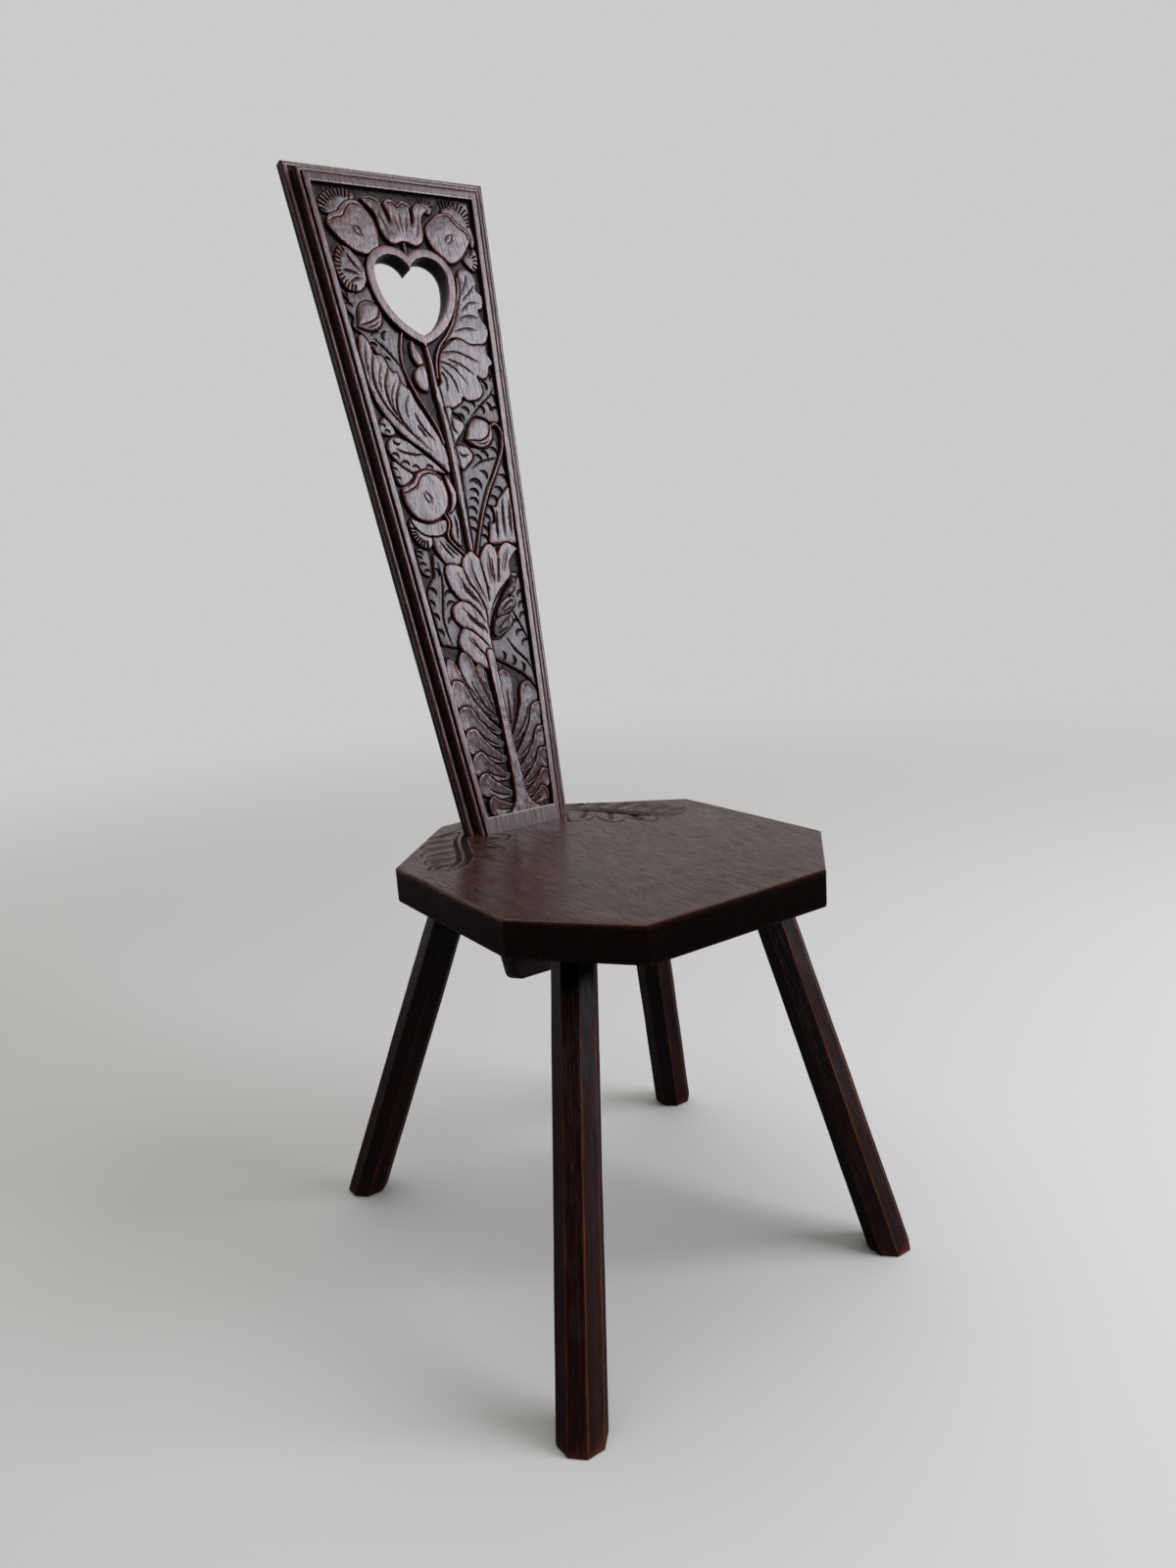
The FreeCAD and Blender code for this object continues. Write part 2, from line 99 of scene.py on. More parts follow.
# %% [markdown]
# ## Floor and daylight
#
# Dark polished wood shows its shape by what it mirrors. In the photograph a wide window on the right
# puts a cool sheen on the leaning plank, a pale wall behind the chair is mirrored in the seat, and
# nothing bright stands on the camera's side, so the faces towards us are almost black. A large soft
# lamp stands for the window, and the world is bright behind the chair and dark in front of it. The
# camera sees only a plain pale backdrop, because its own rays get a colour of their own. A very soft
# sun straight above lights the floor evenly, and the floor fades into the backdrop with distance.

# %% Node group helpers


def new_group(name, inputs, outputs):
    """A shader node group with named float, vector or colour sockets."""
    group = bpy.data.node_groups.new(name, "ShaderNodeTree")
    for word, kind in inputs:
        group.interface.new_socket(name=word, in_out="INPUT", socket_type="NodeSocket" + kind)
    for word, kind in outputs:
        group.interface.new_socket(name=word, in_out="OUTPUT", socket_type="NodeSocket" + kind)
    return group, group.nodes.new("NodeGroupInput"), group.nodes.new("NodeGroupOutput")


def feed(tree, socket, value):
    """Link a socket to another socket, or set it to a constant."""
    if isinstance(value, bpy.types.NodeSocket):
        tree.links.new(value, socket)
    else:
        socket.default_value = value


def math_node(tree, operation, *values, clamp=False):
    """The result of one Math node on numbers or sockets."""
    node = tree.nodes.new("ShaderNodeMath")
    node.operation = operation
    node.use_clamp = clamp
    for socket, value in zip(node.inputs, values):
        feed(tree, socket, value)
    return node.outputs[0]


def remap(tree, value, low, high, to_low=0.0, to_high=1.0):
    """Smooth step of a value between two limits."""
    node = tree.nodes.new("ShaderNodeMapRange")
    node.interpolation_type = "SMOOTHSTEP"
    for word, given in (("Value", value), ("From Min", low), ("From Max", high), ("To Min", to_low),
                        ("To Max", to_high)):
        feed(tree, node.inputs[word], given)
    return node.outputs["Result"]


def stretched(tree, vector, factors):
    """A vector with each of its three parts multiplied."""
    node = tree.nodes.new("ShaderNodeVectorMath")
    node.operation = "MULTIPLY"
    feed(tree, node.inputs[0], vector)
    node.inputs[1].default_value = factors
    return node.outputs["Vector"]


def noise(tree, vector, scale, detail=3.0, roughness=0.55, distortion=0.0):
    """Cloudy noise; the scale counts features for each millimetre of the vector."""
    node = tree.nodes.new("ShaderNodeTexNoise")
    feed(tree, node.inputs["Vector"], vector)
    for word, value in (("Scale", scale), ("Detail", detail), ("Roughness", roughness),
                        ("Distortion", distortion)):
        node.inputs[word].default_value = value
    return node.outputs["Fac"]


def weighted(tree, *parts, clamp=False):
    """The sum of several values, each times its weight."""
    shares = [value if weight == 1 else math_node(tree, "MULTIPLY", value, weight)
              for value, weight in parts]
    total = shares[0]
    for share in shares[1:-1]:
        total = math_node(tree, "ADD", total, share)
    return math_node(tree, "ADD", total, shares[-1], clamp=clamp)


def mix_colour(tree, share, first, second):
    """From the first colour to the second as the share grows."""
    node = tree.nodes.new("ShaderNodeMix")
    node.data_type = "RGBA"
    feed(tree, node.inputs["Factor"], share)
    feed(tree, node.inputs[6], first)
    feed(tree, node.inputs[7], second)
    return node.outputs[2]


print("node helpers ready")

# %% Floor
FLOOR_COLOUR = (0.55, 0.54, 0.52, 1)
FLOOR_IN_POLISH = (0.04, 0.038, 0.036, 1)
BACKDROP_COLOUR = (0.60, 0.60, 0.595, 1)
FLOOR_REACH = 9.0
FADE_FROM = 0.8
FADE_TO = 2.8


def make_floor():
    """A plain pale floor under the feet that fades into the backdrop; the polish mirrors it darker."""
    mesh = bpy.data.meshes.new("floor")
    reach = FLOOR_REACH
    corners = [(-reach, -reach, 0), (reach, -reach, 0), (reach, reach, 0), (-reach, reach, 0)]
    mesh.from_pydata(corners, [], [(0, 1, 2, 3)])
    floor = bpy.data.objects.new("floor", mesh)
    bpy.context.scene.collection.objects.link(floor)
    material = bpy.data.materials.new("pale_floor")
    material.use_nodes = True
    tree = material.node_tree
    shader = tree.nodes["Principled BSDF"]
    seen = tree.nodes.new("ShaderNodeLightPath").outputs["Is Camera Ray"]
    feed(tree, shader.inputs["Base Color"], mix_colour(tree, seen, FLOOR_IN_POLISH, FLOOR_COLOUR))
    shader.inputs["Roughness"].default_value = 0.9
    shader.inputs["Specular IOR Level"].default_value = 0.1
    away = tree.nodes.new("ShaderNodeVectorMath")
    away.operation = "LENGTH"
    feed(tree, away.inputs[0], tree.nodes.new("ShaderNodeTexCoord").outputs["Object"])
    feed(tree, shader.inputs["Alpha"], remap(tree, away.outputs["Value"], FADE_FROM, FADE_TO, 1.0, 0.0))
    mesh.materials.append(material)


make_floor()
print("floor", FLOOR_REACH, "m to each side")

# %% Window, sky and room
WINDOW_PLACE = (1.4, -1.6, 1.68)
WINDOW_AIM = (0, 0.1, 0.6)
WINDOW_SIZE = (1.5, 1.6)
WINDOW_POWER = 64
WINDOW_COLOUR = (0.88, 0.9, 1.0)
SKY_STRENGTH = 1.7
SKY_SPREAD = math.radians(70)
SKY_COLOUR = (1.0, 0.99, 0.97)
ROOM_DARK = 0.0
ROOM_PALE = 0.6
WALL_WAY = (0.60, 0.80, 0.0)
WALL_FROM = -0.15
WALL_TO = 0.75


def make_window():
    """A rectangular lamp aimed at the plank."""
    data = bpy.data.lights.new("window", "AREA")
    data.shape = "RECTANGLE"
    data.size, data.size_y = WINDOW_SIZE
    data.energy = WINDOW_POWER
    data.color = WINDOW_COLOUR
    lamp = bpy.data.objects.new("window", data)
    lamp.location = WINDOW_PLACE
    aim = Vector(WINDOW_AIM) - Vector(WINDOW_PLACE)
    lamp.rotation_euler = aim.to_track_quat("-Z", "Y").to_euler()
    lamp.visible_camera = False
    bpy.context.scene.collection.objects.link(lamp)
    return lamp


def make_sky():
    """A sun straight above, as wide as a bright sky."""
    data = bpy.data.lights.new("open_sky", "SUN")
    data.energy = SKY_STRENGTH
    data.angle = SKY_SPREAD
    data.color = SKY_COLOUR
    bpy.context.scene.collection.objects.link(bpy.data.objects.new("open_sky", data))


def make_room():
    """Pale to the camera; to the wood, pale behind the chair and dark in front of it."""
    world = bpy.data.worlds.new("room")
    world.use_nodes = True
    tree = world.node_tree
    backdrop = tree.nodes["Background"]
    backdrop.inputs["Color"].default_value = BACKDROP_COLOUR
    room = tree.nodes.new("ShaderNodeBackground")
    facing = tree.nodes.new("ShaderNodeVectorMath")
    facing.operation = "DOT_PRODUCT"
    feed(tree, facing.inputs[0], tree.nodes.new("ShaderNodeTexCoord").outputs["Generated"])
    facing.inputs[1].default_value = WALL_WAY
    strength = remap(tree, facing.outputs["Value"], WALL_FROM, WALL_TO, ROOM_DARK, ROOM_PALE)
    feed(tree, room.inputs["Strength"], strength)
    choose = tree.nodes.new("ShaderNodeMixShader")
    feed(tree, choose.inputs["Fac"], tree.nodes.new("ShaderNodeLightPath").outputs["Is Camera Ray"])
    feed(tree, choose.inputs[1], room.outputs[0])
    feed(tree, choose.inputs[2], backdrop.outputs[0])
    feed(tree, tree.nodes["World Output"].inputs["Surface"], choose.outputs[0])
    bpy.context.scene.world = world


window_lamp = make_window()
make_sky()
make_room()
bpy.context.scene.view_settings.view_transform = "Standard"

# %% [markdown]
# ## Oak, stain, wear and polish
#
# Oak has long open pores and slow bands of tone along the grain. The stain sank into the pores and
# made them black. Hands, skirts and dusters have taken it off the arrises, where red-brown wood shows,
# and a century of wax has left a soft polish on everything. The carved hollows, the quirks and grooves,
# the walls of the heart and of the sunk panel, the side faces of the seat and plank and the tops of the
# legs under the seat are darkened in the colour as well: partly dust, partly painted shade.
#
# Three small node groups say that once: `oak_grain` gives tone and pores, `wear_dust_shade` turns the
# wear values and the values of dust and painted shade that each mesh carries into broken-edged masks,
# and `old_polish` gives roughness and the fine relief of pores and tool marks. The wax is the shader's
# coat: it is thin where dust, painted shade or an open pore has dulled it, so its weight varies, while
# the specular level is one number for each finish. Each mesh also carries its own grain coordinates,
# with the third one along the wood, so the figure follows every leg and the leaning plank.

# %% Shared wood effects


def build_oak_grain():
    """Tone of the growth bands and a mask of open pores; the third coordinate runs along the wood."""
    group, start, end = new_group("oak_grain", [("Place", "Vector")],
                                  [("Tone", "Float"), ("Pores", "Float")])
    place = start.outputs["Place"]
    bands = noise(group, stretched(group, place, (1, 1, 0.05)), 0.16, 4, 0.6, 0.6)
    streaks = noise(group, stretched(group, place, (1, 1, 0.04)), 0.55, 3, 0.65)
    tone = weighted(group, (bands, 0.45), (streaks, 0.55))
    feed(group, end.inputs["Tone"], remap(group, tone, 0.38, 0.64))
    pores = noise(group, stretched(group, place, (1, 1, 0.05)), 1.0, 2, 0.6)
    thickly = remap(group, bands, 0.35, 0.6, 0.35, 1.0)
    feed(group, end.inputs["Pores"],
         math_node(group, "MULTIPLY", remap(group, pores, 0.53, 0.62), thickly))
    return group


def build_wear_dust_shade():
    """Broken-edged masks: where the stain is rubbed off, and where dust and painted shade darken the wood.
    """
    sockets = [("Rub", "Float"), ("Hollow", "Float"), ("Place", "Vector")]
    group, start, end = new_group("wear_dust_shade", sockets, [("Worn", "Float"), ("Grime", "Float")])
    place = start.outputs["Place"]
    patches = noise(group, place, 0.05, 3, 0.6)
    flecks = noise(group, stretched(group, place, (1, 1, 0.3)), 0.7, 3, 0.65)
    broken = weighted(group, (patches, 0.7), (flecks, 0.5))
    wear = math_node(group, "ADD", start.outputs["Rub"], math_node(group, "SUBTRACT", broken, 0.62))
    feed(group, end.inputs["Worn"], remap(group, wear, 0.25, 1.0))
    # The mask of dust and painted shade: the amount each mesh carries, broken up by flecks. It darkens
    # hollows, quirks, side faces and the tops of the legs as painted shade, with some dust.
    uneven = math_node(group, "SUBTRACT", flecks, 0.5)
    dust_and_shade_sum = weighted(group, (start.outputs["Hollow"], 1), (uneven, 0.5))
    feed(group, end.inputs["Grime"], remap(group, dust_and_shade_sum, 0.1, 0.9))
    return group


def build_old_polish():
    """Roughness of waxed wood, and a normal with its pores and the ripple of hand tools."""
    words = ("Roughness", "Tooling", "Worn", "Grime", "Pores")
    sockets = [(word, "Float") for word in words] + [("Place", "Vector")]
    group, start, end = new_group("old_polish", sockets, [("Roughness", "Float"), ("Normal", "Vector")])
    given = start.outputs
    place = given["Place"]
    smears = math_node(group, "SUBTRACT",
                       noise(group, stretched(group, place, (1, 1, 0.4)), 0.06, 4, 0.6), 0.5)
    parts = [(given["Roughness"], 1), (smears, 0.4), (given["Grime"], 0.5), (given["Pores"], 0.25),
             (given["Worn"], 0.05)]
    feed(group, end.inputs["Roughness"], weighted(group, *parts, clamp=True))
    ripple = noise(group, stretched(group, place, (1, 1, 0.25)), 0.25, 3, 0.5)
    strokes = noise(group, stretched(group, place, (1, 1, 0.1)), 0.45, 3, 0.65)
    tooled = math_node(group, "MULTIPLY", weighted(group, (ripple, 0.8), (strokes, 1)), given["Tooling"])
    relief = math_node(group, "SUBTRACT", tooled, math_node(group, "MULTIPLY", given["Pores"], 0.6))
    bump = group.nodes.new("ShaderNodeBump")
    bump.inputs["Strength"].default_value = 0.8
    bump.inputs["Distance"].default_value = 0.0008
    feed(group, bump.inputs["Height"], relief)
    feed(group, end.inputs["Normal"], bump.outputs["Normal"])
    return group


oak_grain = build_oak_grain()
wear_dust_shade = build_wear_dust_shade()
old_polish = build_old_polish()
print("groups:", oak_grain.name, wear_dust_shade.name, old_polish.name)

# %% Wood materials
# The near-black colour of stain in open pores and of dust and painted shade in hollows, quirks, side faces
# and under the seat, and how fully the dust and painted shade cover the wood's colour.
NEAR_BLACK = (0.0035, 0.0025, 0.0022, 1)
DUST_AND_SHADE_COVER = 0.78
COAT_ROUGHNESS = 0.3
BARE_DARK = 0.6
PLAIN_RUB = 0.15
PLAIN_DUST_AND_SHADE = 0.1


def use_group(tree, group, **values):
    """One use of a shared group, its inputs given by name."""
    node = tree.nodes.new("ShaderNodeGroup")
    node.node_tree = group
    for word, value in values.items():
        feed(tree, node.inputs[word], value)
    return node.outputs


def attribute(tree, word, output="Fac"):
    """A value that the mesh carries."""
    node = tree.nodes.new("ShaderNodeAttribute")
    node.attribute_name = word
    return node.outputs[output]


def wood(name, dark, light, worn, roughness, tooling, sheen, wax, open_pores=0.75, from_mesh=True):
    """One oak finish. A piece built here brings its own grain, wear, dust and painted shade; a CAD node
    has none.
    """
    material = bpy.data.materials.new(name)
    material.use_nodes = True
    tree = material.node_tree
    shader = tree.nodes["Principled BSDF"]
    if from_mesh:
        place = attribute(tree, "grain", "Vector")
        rub, hollow = attribute(tree, "rub"), attribute(tree, "hollow")
    else:
        coordinates = tree.nodes.new("ShaderNodeTexCoord")
        place = stretched(tree, coordinates.outputs["Object"], (1 / MM, 1 / MM, 1 / MM))
        rub, hollow = PLAIN_RUB, PLAIN_DUST_AND_SHADE
    figure = use_group(tree, oak_grain, Place=place)
    wear = use_group(tree, wear_dust_shade, Rub=rub, Hollow=hollow, Place=place)
    polish = use_group(tree, old_polish, Roughness=roughness, Tooling=tooling, Worn=wear["Worn"],
                       Grime=wear["Grime"], Pores=figure["Pores"], Place=place)
    stain = mix_colour(tree, figure["Tone"], (*dark, 1), (*light, 1))
    bare = mix_colour(tree, figure["Tone"], (*(BARE_DARK * v for v in worn), 1), (*worn, 1))
    colour = mix_colour(tree, wear["Worn"], stain, bare)
    colour = mix_colour(tree, math_node(tree, "MULTIPLY", figure["Pores"], open_pores), colour,
                        NEAR_BLACK)
    # Dust and painted shade darken the colour towards near-black.
    colour = mix_colour(tree, math_node(tree, "MULTIPLY", wear["Grime"], DUST_AND_SHADE_COVER), colour,
                        NEAR_BLACK)
    feed(tree, shader.inputs["Base Color"], colour)
    feed(tree, shader.inputs["Roughness"], polish["Roughness"])
    feed(tree, shader.inputs["Normal"], polish["Normal"])
    shader.inputs["IOR"].default_value = 1.5
    shader.inputs["Specular IOR Level"].default_value = sheen
    shader.inputs["Coat Roughness"].default_value = COAT_ROUGHNESS
    if wax:
        dulled = math_node(tree, "MAXIMUM", wear["Grime"],
                           math_node(tree, "MULTIPLY", figure["Pores"], 0.5))
        undulled = math_node(tree, "SUBTRACT", 1.0, math_node(tree, "MULTIPLY", dulled, 0.85))
        feed(tree, shader.inputs["Coat Weight"], math_node(tree, "MULTIPLY", undulled, wax))
    return material


back_wood = wood(
    "waxed_back_oak", dark=(0.018, 0.0048, 0.004), light=(0.095, 0.024, 0.019), worn=(0.3, 0.085, 0.06),
    roughness=0.28, tooling=1.2, sheen=0.3, wax=0.95)
seat_wood = wood(
    "waxed_seat_oak", dark=(0.02, 0.0055, 0.004), light=(0.105, 0.026, 0.014), worn=(0.15, 0.036, 0.018),
    roughness=0.25, tooling=0.14, sheen=0.25, wax=0.25)
leg_wood = wood(
    "waxed_leg_oak", dark=(0.009, 0.0022, 0.0014), light=(0.034, 0.0068, 0.0032), worn=(0.24, 0.05, 0.018),
    roughness=0.34, tooling=0.5, sheen=0.55, wax=0.5, open_pores=0.4)
peg_wood = wood(
    "waxed_peg_oak", dark=(0.014, 0.006, 0.0048), light=(0.04, 0.015, 0.01), worn=(0.16, 0.05, 0.028),
    roughness=0.45, tooling=0.5, sheen=0.3, wax=0.0, from_mesh=False)
print("materials:", [m.name for m in (back_wood, seat_wood, leg_wood, peg_wood)])

# %% [markdown]
# ## One rule for everything that runs along a line
#
# A joiner makes a moulding by pushing one profile along an edge, and a leg by shaving eight flats
# along a billet. Both are an outline carried along a path, so one Geometry Nodes tree makes the legs,
# the plank's moulded edge and plain tail, the arris of the sunk panel, the heart's rim and the pegs.
# The path's points say which way is outward; the section's points say how far out and how far up, how
# worn they are and how much dust and painted shade darken them. A little noise along the way gives the
# waver of a hand tool.

# %% Geometry Nodes: carry a section along a path


def link_nodes(tree, kind, links, **settings):
    """A new node with its settings, and its named or numbered inputs fed."""
    node = tree.nodes.new(kind)
    for word, value in settings.items():
        setattr(node, word, value)
    for socket, value in links.items():
        feed(tree, node.inputs[socket], value)
    return node


def build_carried_section():
    """A grid of points, each placed by one point of the path and one point of the section."""
    tree = bpy.data.node_groups.new("carried_section", "GeometryNodeTree")
    for word, kind in [("Path", "Geometry"), ("Section", "Object"), ("Up", "Vector"), ("Waver", "Float"),
                       ("Waver Scale", "Float"), ("Material", "Material")]:
        tree.interface.new_socket(name=word, in_out="INPUT", socket_type="NodeSocket" + kind)
    tree.interface.new_socket(name="Geometry", in_out="OUTPUT", socket_type="NodeSocketGeometry")
    start, end = tree.nodes.new("NodeGroupInput"), tree.nodes.new("NodeGroupOutput")
    path = start.outputs["Path"]
    section = link_nodes(tree, "GeometryNodeObjectInfo",
                         {"Object": start.outputs["Section"]}).outputs["Geometry"]
    path_count = link_nodes(tree, "GeometryNodeAttributeDomainSize", {0: path}).outputs["Point Count"]
    section_count = link_nodes(tree, "GeometryNodeAttributeDomainSize",
                               {0: section}).outputs["Point Count"]
    grid = link_nodes(tree, "GeometryNodeMeshGrid",
                      {"Vertices X": section_count, "Vertices Y": path_count})
    index = tree.nodes.new("GeometryNodeInputIndex").outputs[0]
    step = math_node(tree, "FLOORED_MODULO", index, path_count)
    turn = math_node(tree, "FLOOR", math_node(tree, "DIVIDE", index, path_count))

    def sample(geometry, at, kind, word=None):
        field = tree.nodes.new("GeometryNodeInputPosition").outputs[0]
        if word:
            named = link_nodes(tree, "GeometryNodeInputNamedAttribute", {"Name": word}, data_type=kind)
            field = named.outputs["Attribute"]
        node = link_nodes(tree, "GeometryNodeSampleIndex",
                          {"Geometry": geometry, "Value": field, "Index": at}, data_type=kind)
        return node.outputs[0]

    outward = sample(path, step, "FLOAT_VECTOR", "outward")
    profile = link_nodes(tree, "ShaderNodeSeparateXYZ", {0: sample(section, turn, "FLOAT_VECTOR")})
    base = sample(path, step, "FLOAT_VECTOR")
    up = link_nodes(tree, "ShaderNodeVectorMath",
                    {0: start.outputs["Up"], "Scale": profile.outputs["Y"]}, operation="SCALE")
    spot = link_nodes(tree, "ShaderNodeVectorMath", {0: base, 1: up.outputs[0]},
                      operation="ADD").outputs[0]
    ripple = link_nodes(tree, "ShaderNodeTexNoise",
                        {"Vector": spot, "Scale": start.outputs["Waver Scale"], "Detail": 2.0})
    sway = math_node(tree, "MULTIPLY", math_node(tree, "SUBTRACT", ripple.outputs["Fac"], 0.5),
                     start.outputs["Waver"])
    sway = math_node(tree, "MULTIPLY", sway, sample(section, turn, "FLOAT", "loose"))
    reach = math_node(tree, "ADD", profile.outputs["X"], sway)
    out = link_nodes(tree, "ShaderNodeVectorMath", {0: outward, "Scale": reach}, operation="SCALE")
    spot = link_nodes(tree, "ShaderNodeVectorMath", {0: spot, 1: out.outputs[0]},
                      operation="ADD").outputs[0]
    rub = math_node(tree, "MAXIMUM", sample(section, turn, "FLOAT", "rub"),
                    sample(path, step, "FLOAT", "rub"))
    # The fourth number of each section point is dust and painted shade, stored on the mesh.
    hollow = sample(section, turn, "FLOAT", "hollow")
    shape = link_nodes(tree, "GeometryNodeStoreNamedAttribute",
                       {"Geometry": grid.outputs["Mesh"], "Name": "rub", "Value": rub})
    shape = link_nodes(tree, "GeometryNodeStoreNamedAttribute",
                       {"Geometry": shape.outputs[0], "Name": "hollow", "Value": hollow})
    shape = link_nodes(tree, "GeometryNodeSetPosition", {"Geometry": shape.outputs[0], "Position": spot})
    shape = link_nodes(tree, "GeometryNodeMergeByDistance",
                       {"Geometry": shape.outputs[0], "Distance": 0.01})
    shape = link_nodes(tree, "GeometryNodeRealizeInstances", {"Geometry": shape.outputs[0]})
    shape = link_nodes(tree, "GeometryNodeSetMaterial",
                       {"Geometry": shape.outputs[0], "Material": start.outputs["Material"]})
    feed(tree, end.inputs[0], shape.outputs[0])
    return tree


carried_section = build_carried_section()
print("tree", carried_section.name, "with", len(carried_section.nodes), "nodes")

# %% Carry a section and finish a mesh


def points_object(name, points, **attributes):
    """Loose points that carry named values, for the tree to read."""
    mesh = bpy.data.meshes.new(name)
    mesh.from_pydata([tuple(p) for p in points], [], [])
    for word, values in attributes.items():
        values = np.array(values, np.float32)
        kind, field = ("FLOAT_VECTOR", "vector") if values.ndim == 2 else ("FLOAT", "value")
        mesh.attributes.new(word, kind, "POINT").data.foreach_set(field, values.ravel())
    points = bpy.data.objects.new(name, mesh)
    bpy.context.scene.collection.objects.link(points)
    return points


def carry(path, outward, section, up, material, path_rub=0.0, waver=0.0, waver_scale=0.02):
    """A mesh in millimetres; section points are (out, up, rub, dust and painted shade), fixed at both
    ends.
    """
    path = np.array(path, float)
    section = np.array(section, float)
    loose = np.ones(len(section))
    loose[[0, -1]] = 0
    rub = np.broadcast_to(path_rub, len(path))
    track = points_object("track", path, outward=np.array(outward, float), rub=rub)
    profile = points_object("profile", np.c_[section[:, :2], np.zeros(len(section))],
                            rub=section[:, 2], hollow=section[:, 3], loose=loose)
    modifier = track.modifiers.new("carried_section", "NODES")
    modifier.node_group = carried_section
    given = {"Section": profile, "Up": up, "Waver": waver, "Waver Scale": waver_scale,
             "Material": material}
    for item in carried_section.interface.items_tree:
        if item.in_out == "INPUT" and item.name in given:
            modifier[item.identifier] = given[item.name]
    track.update_tag()
    graph = bpy.context.evaluated_depsgraph_get()
    mesh = bpy.data.meshes.new_from_object(track.evaluated_get(graph))
    for used in (track, profile):
        bpy.data.objects.remove(used)
    return mesh


def close_holes(shape):
    """Cap every open end with a flat face and turn all faces outward."""
    open_edges = [edge for edge in shape.edges if len(edge.link_faces) == 1]
    if open_edges:
        bmesh.ops.holes_fill(shape, edges=open_edges, sides=0)
    wide = [face for face in shape.faces if len(face.verts) > 4]
    bmesh.ops.triangulate(shape, faces=wide)
    bmesh.ops.recalc_face_normals(shape, faces=shape.faces[:])


def capped(mesh):
    """The same mesh with its open ends closed."""
    shape = bmesh.new()
    shape.from_mesh(mesh)
    close_holes(shape)
    shape.to_mesh(mesh)
    shape.free()
    return mesh


def plain_mesh(name, shape):
    """A new mesh from the shape that was being edited."""
    mesh = bpy.data.meshes.new(name)
    shape.to_mesh(mesh)
    shape.free()
    return mesh


def places(mesh):
    """Every vertex of a mesh as one row of an array."""
    spots = np.empty(3 * len(mesh.vertices))
    mesh.vertices.foreach_get("co", spots)
    return spots.reshape(-1, 3)


def give(mesh, word, values):
    """Store one number for each vertex."""
    mesh.attributes.new(word, "FLOAT", "POINT").data.foreach_set("value", values.astype(np.float32))


def as_is(spots):
    """Places that are the scene's own already."""
    return spots


def grain_along_y(spots):
    """Grain coordinates of wood whose length runs front to back, or up the plank."""
    return spots[:, [0, 2, 1]]


def stand(name, mesh, to_world, to_grain, material, nodes, sharp=35):
    """Move a mesh from its own millimetres into the scene and hand it to the frame."""
    spots = places(mesh)
    grain = mesh.attributes.new("grain", "FLOAT_VECTOR", "POINT")
    grain.data.foreach_set("vector", np.ascontiguousarray(to_grain(spots), np.float32).ravel())
    for word in ("rub", "hollow"):
        if word not in mesh.attributes:
            mesh.attributes.new(word, "FLOAT", "POINT")
    mesh.vertices.foreach_set("co", np.ascontiguousarray(to_world(spots) * MM).ravel())
    mesh.materials.clear()
    mesh.materials.append(material)
    mesh.shade_smooth()
    mesh.set_sharp_from_angle(angle=math.radians(sharp))
    mesh.name = name
    mesh.update()
    piece = bpy.data.objects.new(name, mesh)
    bpy.context.scene.collection.objects.link(piece)
    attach(piece, "root")
    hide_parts(*nodes)
    triangles = sum(len(face.vertices) - 2 for face in mesh.polygons)
    shape = bmesh.new()
    shape.from_mesh(mesh)
    loose_edges = sum(len(edge.link_faces) != 2 for edge in shape.edges)
    shape.free()
    print(name, triangles, "triangles,", loose_edges, "open edges")
    return piece


print("ready to carry")

# %% [markdown]
# ## Four splayed legs
#
# Each leg is a straight billet shaved to eight flats by eye, a little thicker at the foot, cut level
# at the floor and at the seat. Its top is a round tenon in a blind socket. The arrises between the
# flats are the first place that boots and brooms rub the stain away, so they carry the wear.

# %% Legs
SEAT_CENTRE = -41.2
UNDERSIDE = 308.5
FOOT_HALF = 16.75
SEAT_HALF = 15.5
ARRIS_ROUND = 1.6
TENON_INSET = 6.6
TENON_LENGTH = 17.5
SCUFFED_TO = 38
# Painted shade: the top of each leg darkens from this height up to the underside of the seat.
SHADE_UNDER_SEAT_FROM = 296
SHADE_UNDER_SEAT_OVER = 12
LEG_WAVER = {"waver": 1.1, "waver_scale": 0.016}
GRAIN_APART = (61, 700)
LEGS = {
    "front_right_leg": ((-168, -176), (-90, -88)),
    "front_left_leg": ((146, -166), (90, -88)),
    "rear_right_leg": ((-151, 201), (-93, 79)),
    "rear_left_leg": ((168, 141), (93, 79)),
}


def octagon_path():
    """Eight flats with rounded arrises, about the middle, and how worn each point is."""
    points, wear = [], []
    reach = FOOT_HALF / math.cos(math.pi / 8) - ARRIS_ROUND / math.cos(math.pi / 8)

    def way(angle):
        return np.array([math.cos(angle), math.sin(angle)])

    for k in range(8):
        angle = math.pi / 8 + k * math.pi / 4
        middle, next_middle = reach * way(angle), reach * way(angle + math.pi / 4)
        for share in (-1, -0.5, 0, 0.5, 1):
            points.append(middle + ARRIS_ROUND * way(angle + share * math.pi / 8))
            wear.append(1.0 - 0.45 * abs(share))
        to_flat = ARRIS_ROUND * way(angle + math.pi / 8)
        for share in (0.15, 0.5, 0.85):
            points.append(middle * (1 - share) + next_middle * share + to_flat)
            wear.append(0.0)
    return np.array(points + points[:1]), np.array(wear + wear[:1])


